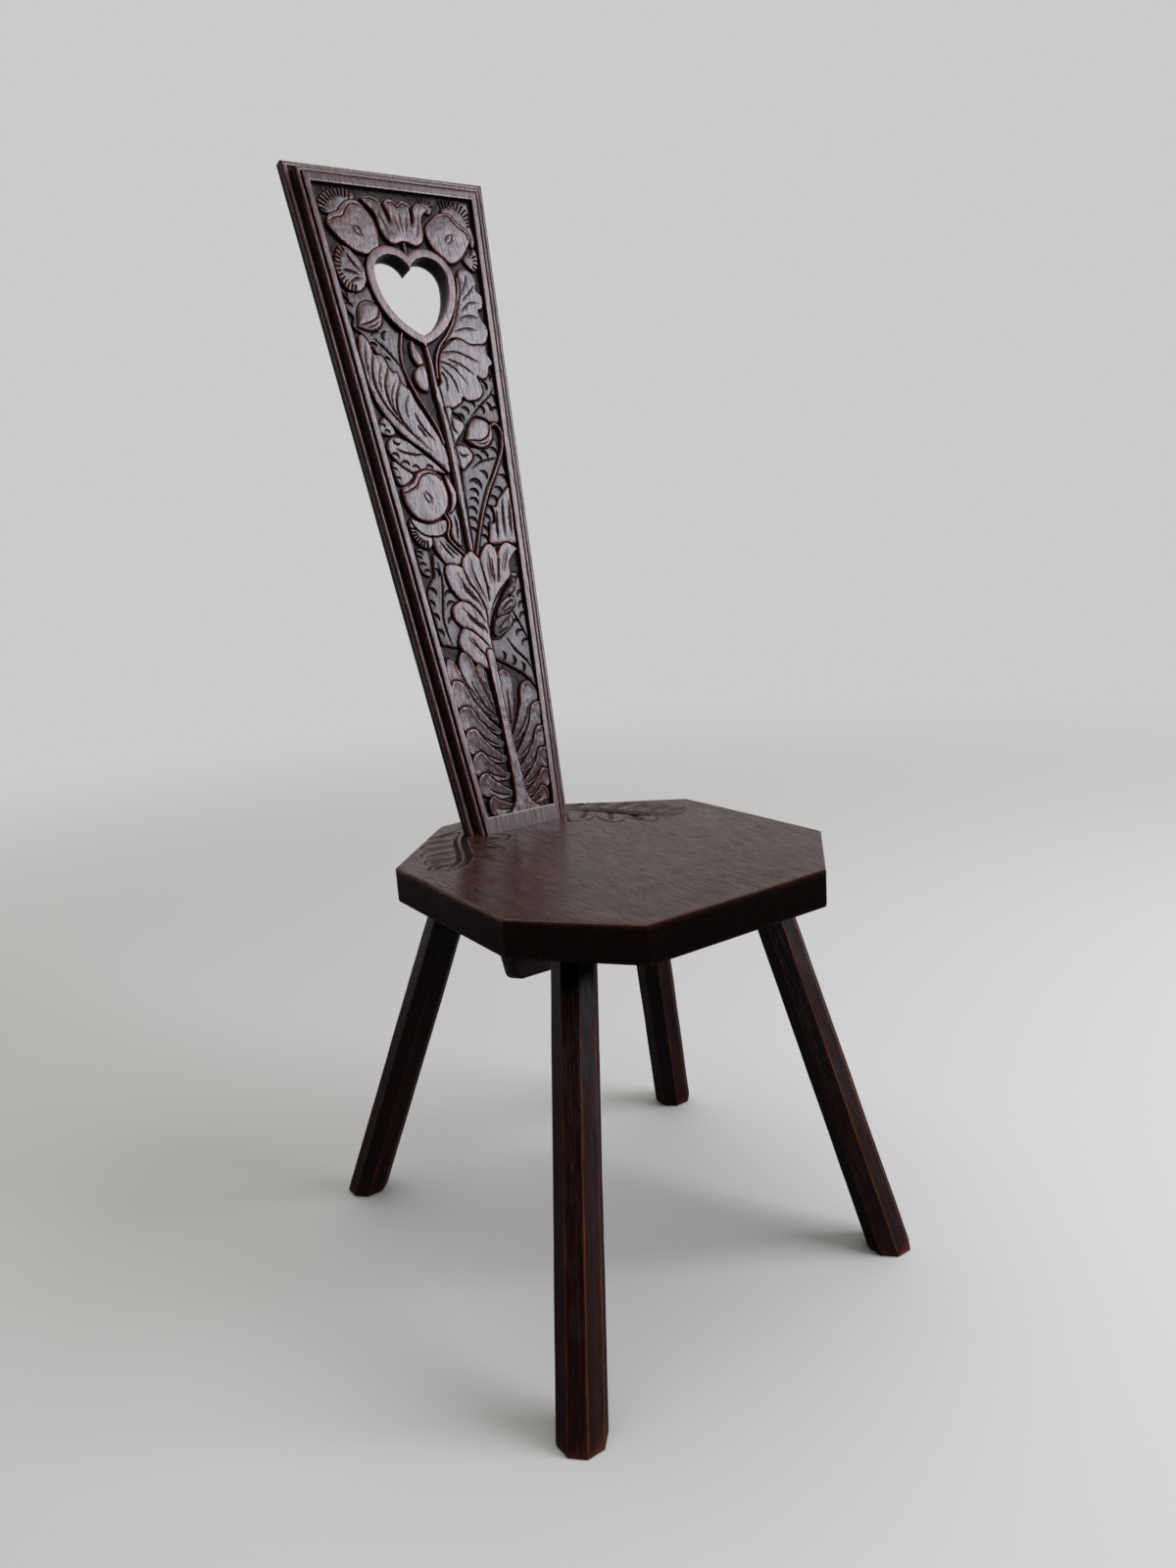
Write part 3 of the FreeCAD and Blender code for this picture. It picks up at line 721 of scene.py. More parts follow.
def leg_section():
    """Chamfered foot, slow taper, level shoulder and tenon."""
    shrink = SEAT_HALF - FOOT_HALF
    section = [(-1.6, 0, 0.5, 0.2), (-0.4, 0.7, 0.9, 0), (0, 2.2, 0.7, 0)]
    for level in np.linspace(6, UNDERSIDE - 1, 44):
        scuffed = 0.5 * max(0, 1 - level / SCUFFED_TO)
        # Painted shade near the seat: the top of the leg, the shoulder and the tenon are darkened; the
        # foot's underside a little.
        under_seat_shade = 0.75 * max(0, (level - SHADE_UNDER_SEAT_FROM) / SHADE_UNDER_SEAT_OVER) ** 2
        section.append((shrink * level / UNDERSIDE, level, scuffed, under_seat_shade))
    tenon_end = UNDERSIDE + TENON_LENGTH
    return section + [(shrink, UNDERSIDE, 0, 0.9), (-TENON_INSET, UNDERSIDE, 0, 1),
                      (-TENON_INSET, tenon_end, 0, 1)]


def make_leg(name, foot, top, seed):
    """One leg from its foot to its place under the seat, each cut from another part of the tree."""
    outline, wear = octagon_path()
    foot, top = np.array(foot, float), np.array(top, float)
    slope = (top - foot) / UNDERSIDE
    base = foot + (0, SEAT_CENTRE)
    path = np.c_[outline + base, np.zeros(len(outline))]
    outward = np.c_[outline / FOOT_HALF, np.zeros(len(outline))]
    mesh = capped(carry(path, outward, leg_section(), (*slope, 1), leg_wood, 0.9 * wear, **LEG_WAVER))

    def to_grain(spots):
        axis = base + spots[:, 2:] * slope
        return np.c_[spots[:, :2] - axis + GRAIN_APART[0] * seed, spots[:, 2] + GRAIN_APART[1] * seed]

    stand(name, mesh, as_is, to_grain, leg_wood, [name])


for order, (name, (foot, top)) in enumerate(LEGS.items()):
    make_leg(name, foot, top, order)

# %% [markdown]
# ## The plank: frame and moulded edge
#
# One board, wider at the top, leans back and runs through the seat. Its long edges and top are
# stuck with two small rounded beads, each with a sunk quirk beside it, and the flat border that
# is left inside them frames a sunk panel. The moulding is a section carried round three sides; the
# panel's arris is another one carried round the opening. Flat plates close the shape. Below the seat
# the plank is plain, so its tail is a piece of its own with softened edges, and so is the heart's rim.

# %% Plank sizes
BORDER_TOP = 573.0
BORDER_HALF_AT_SEAT = 37.6
SPREAD = (82.6 - BORDER_HALF_AT_SEAT) / BORDER_TOP
FRAME_END = -30.5
TAIL_END = -128.0
TAIL_ROUND = 7.0
TAIL_OUT = 11.0
THICKNESS = 19.0
PANEL_SIDE_BORDER = 4.7
PANEL_BOTTOM = 14.0
PANEL_TOP = 566.0
PANEL_BACK = -9.0
PLANK_FOOT = np.array([-5.2, SEAT_CENTRE + 108, 337.0])
PLANK_TILT = math.radians(90 - 14.7)
SIDE_LEAN = math.radians(0.44)
HEART_CENTRE = 490.0
HEART_LOBE_X = 17.0
HEART_LOBE_ROUND = 18.0
HEART_TIP_DROP = 53.0
HEART_RIM = 7.0
HEART_SEAM = 3.5
HEART_TIP_LONGER = 1.3
PLANK_WAVER = {"waver": 0.5, "waver_scale": 0.03}
RIM_WAVER = {"waver": 0.6, "waver_scale": 0.04}


def on_plank(spots):
    """From the plank's own frame (across, up the plank, out of its front) to the scene's."""
    across, up, out = spots.T
    across, up = (across * math.cos(SIDE_LEAN) + up * math.sin(SIDE_LEAN),
                  up * math.cos(SIDE_LEAN) - across * math.sin(SIDE_LEAN))
    return np.c_[across, up * math.cos(PLANK_TILT) - out * math.sin(PLANK_TILT),
                 up * math.sin(PLANK_TILT) + out * math.cos(PLANK_TILT)] + PLANK_FOOT


def stand_in_plank(name, mesh, sharp=35):
    """Hand over one piece of the back plank."""
    stand(name, mesh, on_plank, grain_along_y, back_wood, ["back_plank"], sharp)


def border_half(y):
    """Half the width inside the moulding, at a place up the plank."""
    return BORDER_HALF_AT_SEAT + np.asarray(y) * SPREAD


def panel_half(y):
    """Half the width of the sunk panel, at a place up the plank."""
    return border_half(y) - PANEL_SIDE_BORDER


def heart(grow, count=44):
    """The heart's outline, larger all round by grow: two lobes and two long side arcs."""
    widest = HEART_LOBE_X + HEART_LOBE_ROUND
    side = (widest ** 2 + HEART_TIP_DROP ** 2) / (2 * widest)
    centre = widest - side
    lobe, side = HEART_LOBE_ROUND + grow, side + grow
    notch = math.acos(-HEART_LOBE_X / lobe)
    tip = math.acos(-centre / side)
    low = np.linspace(-tip, 0, count, endpoint=False)
    high = np.linspace(0, notch, count)
    right = np.vstack([np.c_[centre + side * np.cos(low), side * np.sin(low)],
                       np.c_[HEART_LOBE_X + lobe * np.cos(high), lobe * np.sin(high)]])
    right[[0, -1], 0] = 0
    return np.vstack([right, right[-2:0:-1] * (-1, 1)]) + (0, HEART_CENTRE)


print("border is", round(2 * border_half(0)), "wide at the seat and",
      round(2 * border_half(BORDER_TOP)), "at the top")

# %% Plank frame


def spaced(start, end, step):
    """Points from start up to but not including end."""
    start, end = np.array(start, float), np.array(end, float)
    count = max(1, round(np.hypot(*(end - start)) / step))
    return start + np.linspace(0, 1, count, endpoint=False)[:, None] * (end - start)


def arc(centre_out, centre_up, radius, high, low, count, rub):
    """Points of a rounded bead between two angles, most worn in the middle of the turn."""
    turns = np.radians(np.linspace(high, low, count))
    middle = np.radians(55)
    return [(centre_out + radius * math.cos(t), centre_up + radius * math.sin(t),
             rub * max(0.0, 1 - abs(t - middle) / 0.9), 0.0) for t in turns]


# Section points are (out, up, rub, dust and painted shade). The quirks, the groove between the beads, the
# plank's side face and the wall down into the sunk panel are darkened as painted shade.
MOULDING = [(-1.6, 0, 0.42, 0), (-0.6, 0, 0.5, 0), (-0.15, -0.1, 1, 0), (0, -0.4, 0.8, 0),
            (0.15, -1.4, 0, 0.8), (0.35, -2.7, 0, 1), (0.9, -2.8, 0, 1)]
MOULDING += arc(2.95, -3.4, 2.1, 150, 0, 9, 0.7)
MOULDING += [(5.1, -6.2, 0.75, 0), (5.2, -8.4, 0.5, 0.2), (5.6, -9.6, 0, 1), (7.5, -9.7, 0, 1)]
MOULDING += arc(10.2, -10.4, 2.6, 155, 0, 9, 0.7)
MOULDING += [(12.8, -14, 0, 1), (12.8, -17.6, 0.1, 0.9), (12.55, -18.5, 0.8, 0), (11.9, -19, 0.5, 0),
             (10.3, -19, 0, 0)]
OPENING = [(1.6, 0, 0.42, 0), (0.6, 0, 0.5, 0), (0.15, -0.1, 1, 0), (0, -0.4, 0.7, 0), (0, -1.6, 0, 0.7),
           (0, -4.5, 0, 0.9), (0, PANEL_BACK, 0, 1)]


def edge_path():
    """Up the left edge, across the top and down the right edge, with the way outward."""
    left = spaced((-border_half(FRAME_END), FRAME_END), (-border_half(BORDER_TOP), BORDER_TOP), 7)
    top = spaced((-border_half(BORDER_TOP), BORDER_TOP), (border_half(BORDER_TOP), BORDER_TOP), 7)
    points = np.vstack([left, top, left[::-1] * (-1, 1)])
    corner = len(left)
    points = np.insert(points, corner + len(top), (border_half(BORDER_TOP), BORDER_TOP), axis=0)
    outward = np.zeros_like(points)
    outward[:corner] = (-1, 0)
    outward[corner:corner + len(top) + 1] = (0, 1)
    outward[corner + len(top) + 1:] = (1, 0)
    outward[corner] = (-1 - SPREAD, 1)
    outward[corner + len(top)] = (1 + SPREAD, 1)
    return points, outward


def opening_path():
    """Round the sunk panel, first point repeated at the end, outward being into the border."""
    corners = [(-panel_half(PANEL_BOTTOM), PANEL_BOTTOM), (-panel_half(PANEL_TOP), PANEL_TOP),
               (panel_half(PANEL_TOP), PANEL_TOP), (panel_half(PANEL_BOTTOM), PANEL_BOTTOM)]
    ways = [(-1, 0), (0, 1), (1, 0), (0, -1)]
    points, outward = [], []
    for k in range(4):
        side = spaced(corners[k], corners[(k + 1) % 4], 7)
        points.append(side)
        ways_here = np.tile(np.array(ways[k], float), (len(side), 1))
        ways_here[0] = np.array(ways[k]) + ways[k - 1]
        outward.append(ways_here)
    points, outward = np.vstack(points), np.vstack(outward)
    return np.vstack([points, points[:1]]), np.vstack([outward, outward[:1]])


def flat(shape, loops, level):
    """A flat plate inside the first loop and outside the others."""
    triangles = tessellate_polygon([[Vector((x, y, 0)) for x, y in loop] for loop in loops])
    spots = [shape.verts.new((x, y, level)) for loop in loops for x, y in loop]
    for corners in triangles:
        shape.faces.new([spots[i] for i in corners])


def deep(points):
    """Flat points as points in space."""
    return np.c_[points, np.zeros(len(points))]


def make_plank_frame():
    """Moulded edge, border, bed of the panel and plain back, with the heart's place left open."""
    edge, edge_out = edge_path()
    opening, opening_out = opening_path()
    seam = heart(HEART_SEAM)
    ring = np.vstack([seam, seam[:1]])
    up = (0, 0, 1)
    shape = bmesh.new()
    for mesh in (
        carry(deep(edge), deep(edge_out), MOULDING, up, back_wood, **PLANK_WAVER),
        carry(deep(opening), deep(opening_out), OPENING, up, back_wood, **PLANK_WAVER),
        carry(deep(ring), deep(0 * ring), [(0, PANEL_BACK, 0, 0), (0, -THICKNESS, 0, 0)], up, back_wood),
    ):
        shape.from_mesh(mesh)
    opening, opening_out = opening[:-1], opening_out[:-1]
    flat(shape, [edge + edge_out * MOULDING[0][0], opening + opening_out * OPENING[0][0]], 0)
    flat(shape, [opening, seam], PANEL_BACK)
    flat(shape, [edge + edge_out * MOULDING[-1][0], seam], -THICKNESS)
    bmesh.ops.remove_doubles(shape, verts=shape.verts[:], dist=0.02)
    close_holes(shape)
    stand_in_plank("plank_frame", plain_mesh("plank_frame", shape))


make_plank_frame()

# %% Plank tail
# The fourth number darkens the tail's faces a little, all round except at the arrises.
TAIL_SECTION = [(-3, 0, 0, 0.2), (-1, 0, 0.2, 0.2), (-0.3, -0.25, 0.6, 0), (0, -1, 0.3, 0.2),
                (0, -18, 0.1, 0.2), (-0.3, -18.75, 0.5, 0), (-1, -19, 0.2, 0.2), (-3, -19, 0, 0.2)]


def make_plank_tail():
    """The plain end of the plank below the seat, with rounded lower corners."""
    turn = np.radians(np.linspace(0, -90, 7))
    half = float(border_half(TAIL_END)) + TAIL_OUT
    corner = np.c_[half - TAIL_ROUND + TAIL_ROUND * np.cos(turn),
                   TAIL_END + TAIL_ROUND + TAIL_ROUND * np.sin(turn)]
    upper = np.array([[float(border_half(FRAME_END)) + TAIL_OUT, FRAME_END - 0.05]])
    side = np.vstack([upper, corner])
    ways = np.vstack([[(1, 0.0)], np.c_[np.cos(turn), np.sin(turn)]])
    path = np.vstack([side, side[::-1] * (-1, 1), side[:1]])
    outward = np.vstack([ways, ways[::-1] * (-1, 1), ways[:1]])
    stand_in_plank("plank_tail",
                   capped(carry(deep(path), deep(outward), TAIL_SECTION, (0, 0, 1), back_wood)))


make_plank_tail()

# %% Heart rim
# The piercing's wall and the wall below the rim's outer edge are darkened as painted shade (fourth
# number).
RIM_SECTION = [(HEART_SEAM, -19, 0, 0), (0.9, -19, 0.3, 0), (0.25, -18.75, 0.9, 0), (0, -18.1, 0.6, 0),
               (0, -15, 0, 0.7), (0, -9, 0, 0.75), (0, -3, 0.1, 0.6), (0, -1, 0.4, 0.2),
               (0.12, -0.55, 1, 0), (0.5, -0.37, 0.8, 0), (1.4, -0.33, 0.5, 0), (5.6, -0.33, 0.5, 0),
               (6.5, -0.37, 0.8, 0), (6.88, -0.55, 1, 0), (7, -1, 0.4, 0), (7, -3.2, 0, 0.5),
               (7, -5, 0, 1), (7, -9.2, 0, 1), (HEART_SEAM, -9.2, 0, 1), (HEART_SEAM, -19, 0, 0)]


def make_heart_rim():
    """The flat raised band round the piercing, with the piercing's wall."""
    inner = heart(0)
    outward = (heart(HEART_RIM) - inner) / HEART_RIM
    outward[0] *= HEART_TIP_LONGER
    inner, outward = np.vstack([inner, inner[:1]]), np.vstack([outward, outward[:1]])
    mesh = carry(deep(inner), deep(outward), RIM_SECTION, (0, 0, 1), back_wood, **RIM_WAVER)
    stand_in_plank("heart_rim", capped(mesh))


make_heart_rim()

# %% [markdown]
# ## Carving tools
#
# The carver first sinks the ground round each leaf with a straight cut, then rounds the leaf over,
# runs a gouge down its veins and presses rows of thumbnail cuts into the flat leaves behind. These
# strokes are written here over a grid of heights: `lay` sets in and rounds a shape, `gouge` runs a
# groove along a line, `stem` raises a stalk, `nick` makes a thumbnail cut, `lobe` one finger of a frond
# that slopes from its upper edge to its root, `fringe` a row of short cuts and `bloom` a poppy. Later
# strokes lie on earlier ones, as they do in the wood.

# %% The carver's strokes
SET_IN_WIDTH = 0.9
CRISP = 0.55


def smooth(points, closed=True, steps=6):
    """A smooth line through listed points; a point given twice makes a corner."""
    p = np.array(points, float)
    if closed:
        before, start, end, after = np.roll(p, 1, 0), p, np.roll(p, -1, 0), np.roll(p, -2, 0)
    else:
        padded = np.vstack([2 * p[0] - p[1], p, 2 * p[-1] - p[-2]])
        before, start, end, after = padded[:-3], padded[1:-2], padded[2:-1], padded[3:]
    t = np.linspace(0, 1, steps, endpoint=False)[None, :, None]
    a, b, c, d = (q[:, None, :] for q in (before, start, end, after))
    square, cube = 2 * a - 5 * b + 4 * c - d, 3 * b - a - 3 * c + d
    curve = 0.5 * (2 * b + (c - a) * t + square * t ** 2 + cube * t ** 3)
    curve = curve.reshape(-1, 2)
    return curve if closed else np.vstack([curve, p[-1:]])


class Relief:
    """A grid of heights that strokes of the gouge change one after another."""

    def __init__(self, x, y, level):
        self.x, self.y = x, y
        self.rows = y[:, 0]
        self.lowest = level - 0.6
        self.height = np.full(x.shape, float(level))

    def window(self, line, margin):
        """The rows and columns round a line."""
        low, high = line.min(0) - margin, line.max(0) + margin
        r = np.flatnonzero((self.rows >= low[1]) & (self.rows <= high[1]))
        band = self.x[r[0]:r[-1] + 1]
        c = np.flatnonzero(((band >= low[0]) & (band <= high[0])).any(0))
        return slice(r[0], r[-1] + 1), slice(c[0], c[-1] + 1)

    def measure(self, line, area, closed):
        """Distance to a line, the share of it passed at the nearest point, and what is inside it."""
        x, y = self.x[area], self.y[area]
        nearest, along, inside = np.full(x.shape, 1e9), np.zeros(x.shape), np.zeros(x.shape, bool)
        ends = np.roll(line, -1, 0) if closed else line[1:]
        for i, ((ax, ay), (bx, by)) in enumerate(zip(line, ends)):
            dx, dy = bx - ax, by - ay
            length = dx * dx + dy * dy
            if length < 1e-12:
                continue
            t = np.clip(((x - ax) * dx + (y - ay) * dy) / length, 0, 1)
            gap = np.hypot(x - ax - t * dx, y - ay - t * dy)
            closer = gap < nearest
            nearest[closer] = gap[closer]
            along[closer] = (i + t[closer]) / len(ends)
            if closed and ay != by:
                inside ^= ((ay > y) != (by > y)) & (x < ax + (y - ay) * dx / dy)
        return nearest, along, inside

    def lay(self, outline, crest, wall=1.2, dome=0.0, reach=5.0, set_in=0.8, fall=None, corners=False):
        """Set in a shape and raise it to a crest: rounded wall, then a crown or, below zero, a dish."""
        line = np.array(outline, float) if corners else smooth(outline)
        area = self.window(line, 3 * SET_IN_WIDTH)
        gap, _, inside = self.measure(line, area, True)
        under = self.height[area] - set_in * np.exp(-(gap / SET_IN_WIDTH) ** 2) * ~inside
        top = crest + dome * (1 - np.exp(-gap / reach))
        if fall:
            (x0, y0), (x1, y1), drop = fall
            run = (x1 - x0) ** 2 + (y1 - y0) ** 2
            share = ((self.x[area] - x0) * (x1 - x0) + (self.y[area] - y0) * (y1 - y0)) / run
            top = top - drop * np.clip(share, 0, 1)
        rise = np.sqrt(np.clip(1 - (1 - np.clip(gap / (CRISP * wall), 0, 1)) ** 2, 0, 1))
        self.height[area] = np.where(inside, under + (top - under) * rise, np.maximum(under, self.lowest))

    def gouge(self, path, width, depth, start=0.15, end=0.15):
        """One stroke of a round gouge along a line, lifting out towards its ends."""
        line = smooth(path, closed=False)
        area = self.window(line, width)
        gap, along, _ = self.measure(line, area, False)
        taper = np.interp(along, [0, 0.3, 0.7, 1], [start, 1, 1, end])
        cut = np.clip(1 - (gap / (width / 2 * (0.4 + 0.6 * taper))) ** 1.4, 0, 1)
        self.height[area] -= depth * taper * cut

    def stem(self, path, widths, crest, set_in=0.8, flat=3.0):
        """A rounded stalk along a line; its width changes evenly through the given widths."""
        line = smooth(path, closed=False)
        area = self.window(line, max(widths) + 3 * SET_IN_WIDTH)
        gap, along, _ = self.measure(line, area, False)
        half = np.interp(along, np.linspace(0, 1, len(widths)), widths) / 2
        inside = gap < half
        under = self.height[area] - set_in * np.exp(-((gap - half) / SET_IN_WIDTH) ** 2) * ~inside
        rise = 1 - np.clip(gap / half, 0, 1) ** flat
        self.height[area] = np.where(inside, under + (crest - under) * rise,
                                     np.maximum(under, self.lowest))

    def nick(self, x, y, size, turn, depth=1.9):
        """A thumbnail cut: steep along its arched edge, easing out to nothing inside the arch."""
        area = self.window(np.array([(x, y)]), 1.5 * size)
        dx, dy = self.x[area] - x, self.y[area] - y
        radius = np.hypot(dx, dy)
        angle = np.arctan2(dy, dx) - math.radians(turn)
        angle = np.abs((angle + math.pi) % (2 * math.pi) - math.pi)
        thick = 0.9 * size * np.clip(np.cos(angle * 0.92), 0, 1)
        share = (radius - (size - thick)) / np.maximum(thick, 1e-6)
        cut = np.where((thick > 0) & (radius < size), np.clip(share, 0, 1), 0)
        self.height[area] -= depth * cut

    def lobe(self, root, tip, width, bend):
        """One finger of a frond: high along its upper edge and tip, falling to its lower edge and root."""
        crest, drop, blunt, base = -0.8, 2.3, 0.8, 0.3
        root, tip = np.array(root, float), np.array(tip, float)
        run = tip - root
        side = np.array([-run[1], run[0]]) / np.hypot(*run)
        t = np.linspace(0, 1, 13)
        middle = root + t[:, None] * run + (bend * 4 * t * (1 - t))[:, None] * side
        swell = base + (1 - base) * np.sin(np.pi / 2 * np.clip(t / blunt, 0, 1))
        close = np.sqrt(np.clip(1 - np.clip((t - blunt) / (1 - blunt), 0, 1) ** 2.2, 0, 1))
        scallop = 1 + 0.07 * np.cos(5 * np.pi * t) * (t > 0.5)
        half = (width / 2 * swell * close * scallop)[:, None]
        outline = np.vstack([(middle + half * side)[:-1], middle[-1:], (middle - half * side)[:-1][::-1]])
        upper = width / 2 * side * np.sign(side[1])
        self.lay(outline, crest, wall=1.0, dome=-0.5, reach=width / 5,
                 fall=(tip + upper, root - upper, drop))
        self.gouge(middle[1:9] - 0.15 * upper, 1.3, 1.0, start=1.0, end=0.0)

    def fringe(self, centre, across, up, first, last, count, inner=0.68):
        """A row of short cuts round the edge of a leaf, as on a ripe seed head."""
        for angle in np.radians(np.linspace(first, last, count)):
            arm = np.array([across * math.cos(angle), up * math.sin(angle)])
            self.gouge([np.array(centre) + 1.06 * arm, np.array(centre) + inner * arm], 1.7, 2.0,
                       start=1, end=0)

    def bloom(self, outline, lip, eye, turn):
        """A cup-shaped poppy: crowned, with a lip along one edge and an almond eye of two thin lines."""
        self.lay(outline, -1.3, wall=1.5, dome=0.5, reach=7)
        self.gouge(lip, 1.6, 1.5, start=0.5, end=0.5)
        eye = np.array(eye, float)
        ahead = np.array([math.cos(math.radians(turn)), math.sin(math.radians(turn))])
        aside = np.array([-ahead[1], ahead[0]])
        for side in (1, -1):
            self.gouge([eye - 7 * ahead, eye + side * 2.6 * aside, eye + 7 * ahead], 1.1, 0.8, start=0,
                       end=0)


print("strokes ready")

# %% Panel grid
GROUND = -5.0
GRID_STEP = 0.5
UNDER_BORDER = 0.25
row_count = int((PANEL_TOP - PANEL_BOTTOM) / GRID_STEP) + 1
column_count = int(2 * panel_half(PANEL_TOP) / GRID_STEP) + 1
rows = np.linspace(PANEL_BOTTOM, PANEL_TOP, row_count)
grid_x = np.linspace(-1, 1, column_count)[None, :] * (panel_half(rows)[:, None] + UNDER_BORDER)
panel = Relief(grid_x, np.repeat(rows[:, None], column_count, axis=1), GROUND)
print("carving grid", panel.height.shape)

# %% [markdown]
# ## The poppy plant
#
# A poppy grows up the panel from a foot that is left level with the border. Two ferny fronds stand
# beside the foot, an acanthus spreads above them, and from it the stem climbs to the heart with
# lobed leaves, buds on hooked stalks and cup-shaped flowers. Flat leaves fill the back of it all,
# and rows of thumbnail cuts make them shimmer. The work goes from the back forward.

# %% Flat leaves at the back
FLAT_LEAVES = [
    [(-66, 472), (-55, 474), (-44, 479), (-40, 468), (-36, 455), (-28, 443), (-21, 436), (-24, 420),
     (-25, 404), (-26, 391), (-34, 400), (-42, 412), (-50, 425), (-57, 437), (-64, 443), (-62, 452),
     (-69, 461), (-63, 465)],
    [(44, 398), (56, 408), (62, 404), (61, 380), (60, 363), (52, 360), (44, 365), (34, 366), (26, 360),
     (22, 357), (21, 366), (14, 372), (28, 381), (42, 383), (49, 391)],
    [(12, 318), (20, 322), (26, 331), (24, 338), (34, 337), (43, 338), (50, 346), (53, 338), (49, 326),
     (42, 314), (34, 301), (26, 286), (18, 270), (11, 252), (7, 247), (8, 280), (9, 305)],
    [(50, 324), (55, 319), (55, 302), (49, 297), (43, 290), (38, 284), (34, 279), (33, 272), (28, 268),
     (25, 258), (22, 250), (13, 250), (20, 266), (28, 283), (37, 299), (45, 313)],
    [(-33, 245), (-27, 239), (-24, 234), (-26, 222), (-22, 210), (-17, 203), (-25, 198), (-27, 190),
     (-21, 180), (-26, 168), (-29, 163), (-36, 165), (-42.5, 168), (-44, 185), (-45.5, 200), (-46, 212),
     (-40, 222), (-36, 226), (-35, 236)],
    [(-48, 250), (-41, 250), (-37, 246), (-38, 235), (-40, 226), (-48, 232)],
    [(37, 222), (43, 224), (47.5, 220), (46, 200), (45, 180), (43.5, 160), (42, 140), (42, 120),
     (37, 127), (30, 134), (20, 141), (12, 146), (5, 152), (5, 165), (15, 166), (26, 176), (28, 186),
     (34, 192), (35, 206)],
]
FLAT_VEINS = [
    [(-48, 434), (-40, 426), (-32, 416), (-25, 406)],
    [(62, 394), (55, 385), (46, 378), (38, 371), (32, 366)],
    [(22, 319), (32, 325), (42, 327), (49, 328)],
    [(-31, 238), (-30, 222), (-33, 206), (-36, 190), (-35, 176), (-33, 165)],
    [(33, 190), (38, 178), (44, 160)],
    [(22, 166), (28, 155), (36, 146), (42, 136)],
]
THUMBNAIL_CUTS = [
    (-45, 437, 4.2, 110), (-36, 436, 4.6, 160), (-49, 427, 3.8, 80), (-39, 415, 3.4, 80),
    (-66, 470, 3.4, 60), (-64, 461, 3.8, 70), (57, 403, 4.2, 20), (51, 394, 4.6, 20),
    (58, 383, 4.2, 25), (51, 375, 4.2, 20), (43, 372, 4.6, 30), (34, 377, 4.6, 50), (27, 371, 4.6, 50),
    (21, 365, 4.2, 45), (58, 372, 3.8, 110), (47, 334, 4.6, 40), (37, 331, 4.6, 40), (30, 328, 4.2, 40),
    (32, 313, 5.0, 35), (22, 304, 6.8, 55), (19, 297, 5.0, 55), (17, 289, 5.0, 50), (14, 281, 4.8, 50),
    (12, 272, 4.6, 55), (10, 263, 4.4, 55), (51, 309, 5.0, 45), (44, 298, 5.0, 45), (37, 290, 5.0, 45),
    (30, 282, 4.8, 45), (26, 274, 4.6, 50), (22, 264, 4.2, 50), (20, 256, 4.2, 50), (-42, 212, 5.0, 55),
    (-45, 202, 4.4, 50), (-43.5, 190, 4.6, 55), (-42.5, 176, 4.8, 55), (-26, 209, 4.6, 110),
    (-26, 200, 4.4, 110), (-28, 186, 4.4, 110), (-34, 229, 4.2, 30), (-46, 246, 3.4, 60),
    (-47, 242, 3.2, 70), (-45, 236, 3.4, 80), (-42, 230, 3.2, 90), (46, 217, 4.6, 120),
    (45.5, 204, 4.4, 120), (44.5, 194, 4.4, 120), (43.5, 184, 4.4, 120), (34, 178, 4.4, 120),
    (36, 169, 4.2, 120), (40, 160, 4.2, 120), (14, 151, 4.4, 350), (23, 146, 4.6, 350),
    (31, 139, 4.6, 350),
]
for outline in FLAT_LEAVES:
    panel.lay(outline, -3.0, wall=1.0, dome=0.35, reach=6)
for path in FLAT_VEINS:
    panel.gouge(path, 2.0, 1.5)
for x, y, size, turn in THUMBNAIL_CUTS:
    panel.nick(x, y, size, turn)
print(len(FLAT_LEAVES), "flat leaves,", len(THUMBNAIL_CUTS), "thumbnail cuts")

# %% Great leaves beside the stem
panel.lay([(46, 488), (48, 497), (54, 501), (61, 498), (65, 490), (63, 482), (68, 476), (66, 466),
           (61, 463), (63, 454), (67, 447), (65, 438), (59, 432), (50, 431), (40, 432), (30, 437),
           (20, 432), (27, 441), (35, 454), (40, 466), (44, 478)], -1.9, wall=1.2, dome=0.4, reach=8)
for path in ([(44, 462), (52, 469), (63, 471)], [(33, 443), (44, 446), (56, 445)],
             [(47, 478), (53, 488), (56, 497)], [(40, 455), (50, 458), (60, 457)],
             [(47, 472), (56, 480), (62, 487)]):
    panel.gouge(path, 1.4, 0.9, start=0.6)
panel.stem([(46, 492), (44, 480), (39, 466), (33, 452), (24, 439), (14, 428), (8, 414), (6, 400)],
           [2.6, 2.8, 3.0, 3.2], -1.6)
panel.lay([(13, 421), (22, 430), (33, 436), (46, 431), (60, 431), (61, 423), (65, 415), (60, 411),
           (57, 403), (51, 400), (46, 402), (49, 390), (43, 382), (32, 380), (27, 383), (24, 378),
           (14, 373), (7, 373), (1, 379), (0, 385), (3, 391), (8, 396), (9, 408)], -1.5, wall=1.2,
          dome=0.4, reach=9)
for path in ([(16, 423), (28, 424), (40, 420), (52, 414)], [(12, 415), (21, 411), (28, 404), (35, 394)],
             [(10, 405), (14, 398), (12, 387)], [(20, 417), (32, 412), (44, 403)],
             [(12, 410), (20, 400), (24, 386)]):
    panel.gouge(path, 1.4, 1.0, start=0.8)
